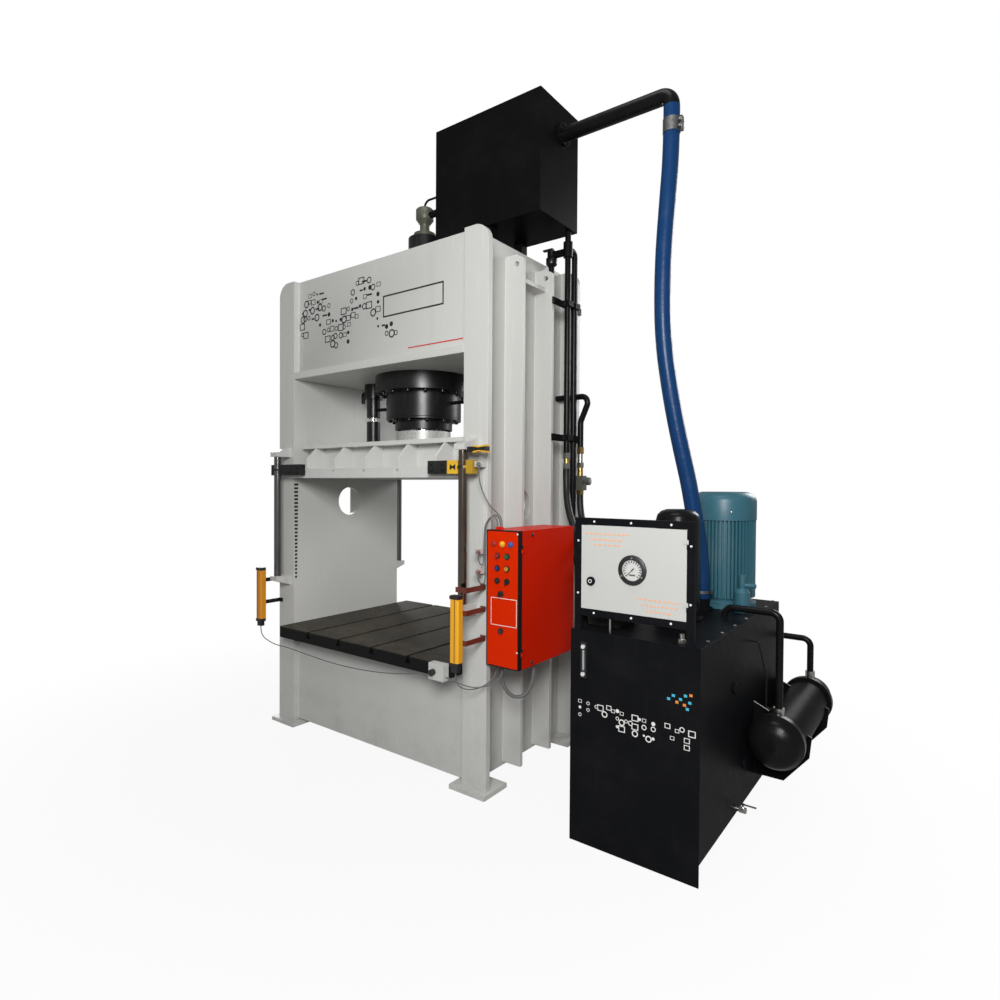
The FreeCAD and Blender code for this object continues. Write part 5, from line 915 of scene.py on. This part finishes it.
# The pressure hoses, the conduit and the leads, each with its length.
PRESSURE_HOSES = (
    (((0.920, 0.267, 1.706), (0.920, 0.267, 1.600), (0.962, 0.215, 1.475), (1.050, 0.140, 1.350),
      (1.155, 0.070, 1.240), (1.260, 0.005, 1.140), (1.355, -0.045, 1.060), (1.425, -0.095, 1.012),
      (1.451, -0.150, 1.004), (1.451, -0.206, 1.004)), 1.088),
    (((0.920, 0.347, 1.380), (0.920, 0.347, 1.285), (0.970, 0.290, 1.165), (1.070, 0.205, 1.085),
      (1.190, 0.115, 1.040), (1.310, 0.035, 1.016), (1.415, -0.035, 1.006), (1.480, -0.092, 1.004),
      (1.503, -0.148, 1.004), (1.503, -0.206, 1.004)), 1.018),
    (((0.944, 0.394, 1.549), (0.944, 0.394, 1.462), (0.985, 0.368, 1.365), (1.065, 0.305, 1.270),
      (1.160, 0.228, 1.195), (1.265, 0.150, 1.130), (1.375, 0.070, 1.070), (1.475, -0.008, 1.026),
      (1.537, -0.078, 1.007), (1.555, -0.144, 1.004), (1.555, -0.206, 1.004)), 1.128))
for number, (route, length) in enumerate(PRESSURE_HOSES, 1):
    lead("pressure_hose_%d" % number, route, 0.020, hose_black, "pressure_hoses")
CONDUIT = (
    (0.930, -0.395, 0.676), (0.930, -0.395, 0.612), (0.941, -0.386, 0.556), (0.966, -0.366, 0.515),
    (0.997, -0.341, 0.502), (1.026, -0.317, 0.516), (1.050, -0.298, 0.557), (1.060, -0.290, 0.612),
    (1.060, -0.290, 0.676))
lead("conduit", CONDUIT, 0.0095, lead_grey, "conduit_loop")
SENSOR_LEADS = (
    (((0.898, -0.553, 1.699), (0.898, -0.553, 1.645), (0.905, -0.543, 1.590), (0.916, -0.520, 1.535),
      (0.929, -0.488, 1.490), (0.941, -0.452, 1.462), (0.947, -0.420, 1.430), (0.947, -0.420, 1.390)),
     0.358),
    (((0.898, -0.553, 1.259), (0.898, -0.553, 1.236), (0.896, -0.538, 1.207), (0.893, -0.514, 1.198),
      (0.891, -0.499, 1.216), (0.891, -0.499, 1.262), (0.892, -0.499, 1.340), (0.894, -0.496, 1.400),
      (0.906, -0.472, 1.440), (0.920, -0.444, 1.448), (0.925, -0.430, 1.416), (0.925, -0.430, 1.390)),
     0.418),
    (((0.898, -0.553, 1.159), (0.898, -0.553, 1.136), (0.896, -0.536, 1.108), (0.893, -0.505, 1.102),
      (0.891, -0.488, 1.121), (0.891, -0.487, 1.165), (0.891, -0.487, 1.240), (0.892, -0.487, 1.320),
      (0.893, -0.486, 1.395), (0.901, -0.465, 1.438), (0.913, -0.430, 1.456), (0.925, -0.405, 1.428),
      (0.925, -0.405, 1.390)), 0.540))
for number, (route, length) in enumerate(SENSOR_LEADS, 1):
    lead("sensor_lead_%d" % number, route, 0.003, lead_grey, "sensor_cables")
GUARD_LEADS = (
    (((0.836, -0.650, 0.677), (0.836, -0.650, 0.636), (0.846, -0.630, 0.600), (0.866, -0.585, 0.578),
      (0.888, -0.535, 0.578), (0.908, -0.490, 0.592), (0.921, -0.455, 0.615), (0.925, -0.430, 0.645),
      (0.925, -0.430, 0.676)), 0.352),
    (((0.730, -0.603, 0.620), (0.765, -0.603, 0.620), (0.820, -0.598, 0.602), (0.885, -0.570, 0.588),
      (0.932, -0.518, 0.592), (0.958, -0.465, 0.612), (0.965, -0.430, 0.642), (0.965, -0.430, 0.676)),
     0.373),
    (((-0.836, -0.650, 0.677), (-0.836, -0.650, 0.636), (-0.820, -0.640, 0.600), (-0.780, -0.618, 0.572),
      (-0.728, -0.604, 0.557), (-0.642, -0.599, 0.556), (-0.555, -0.596, 0.552), (-0.468, -0.596, 0.546),
      (-0.380, -0.596, 0.541), (-0.292, -0.596, 0.537), (-0.205, -0.596, 0.534), (-0.118, -0.596, 0.533),
      (-0.030, -0.596, 0.535), (0.058, -0.597, 0.539), (0.145, -0.597, 0.545), (0.232, -0.598, 0.553),
      (0.320, -0.599, 0.564), (0.405, -0.600, 0.578), (0.485, -0.602, 0.595), (0.560, -0.603, 0.612),
      (0.630, -0.603, 0.612)), 1.553))
for number, (route, length) in enumerate(GUARD_LEADS, 1):
    lead("guard_lead_%d" % number, route, 0.003, lead_grey, "guard_cables")
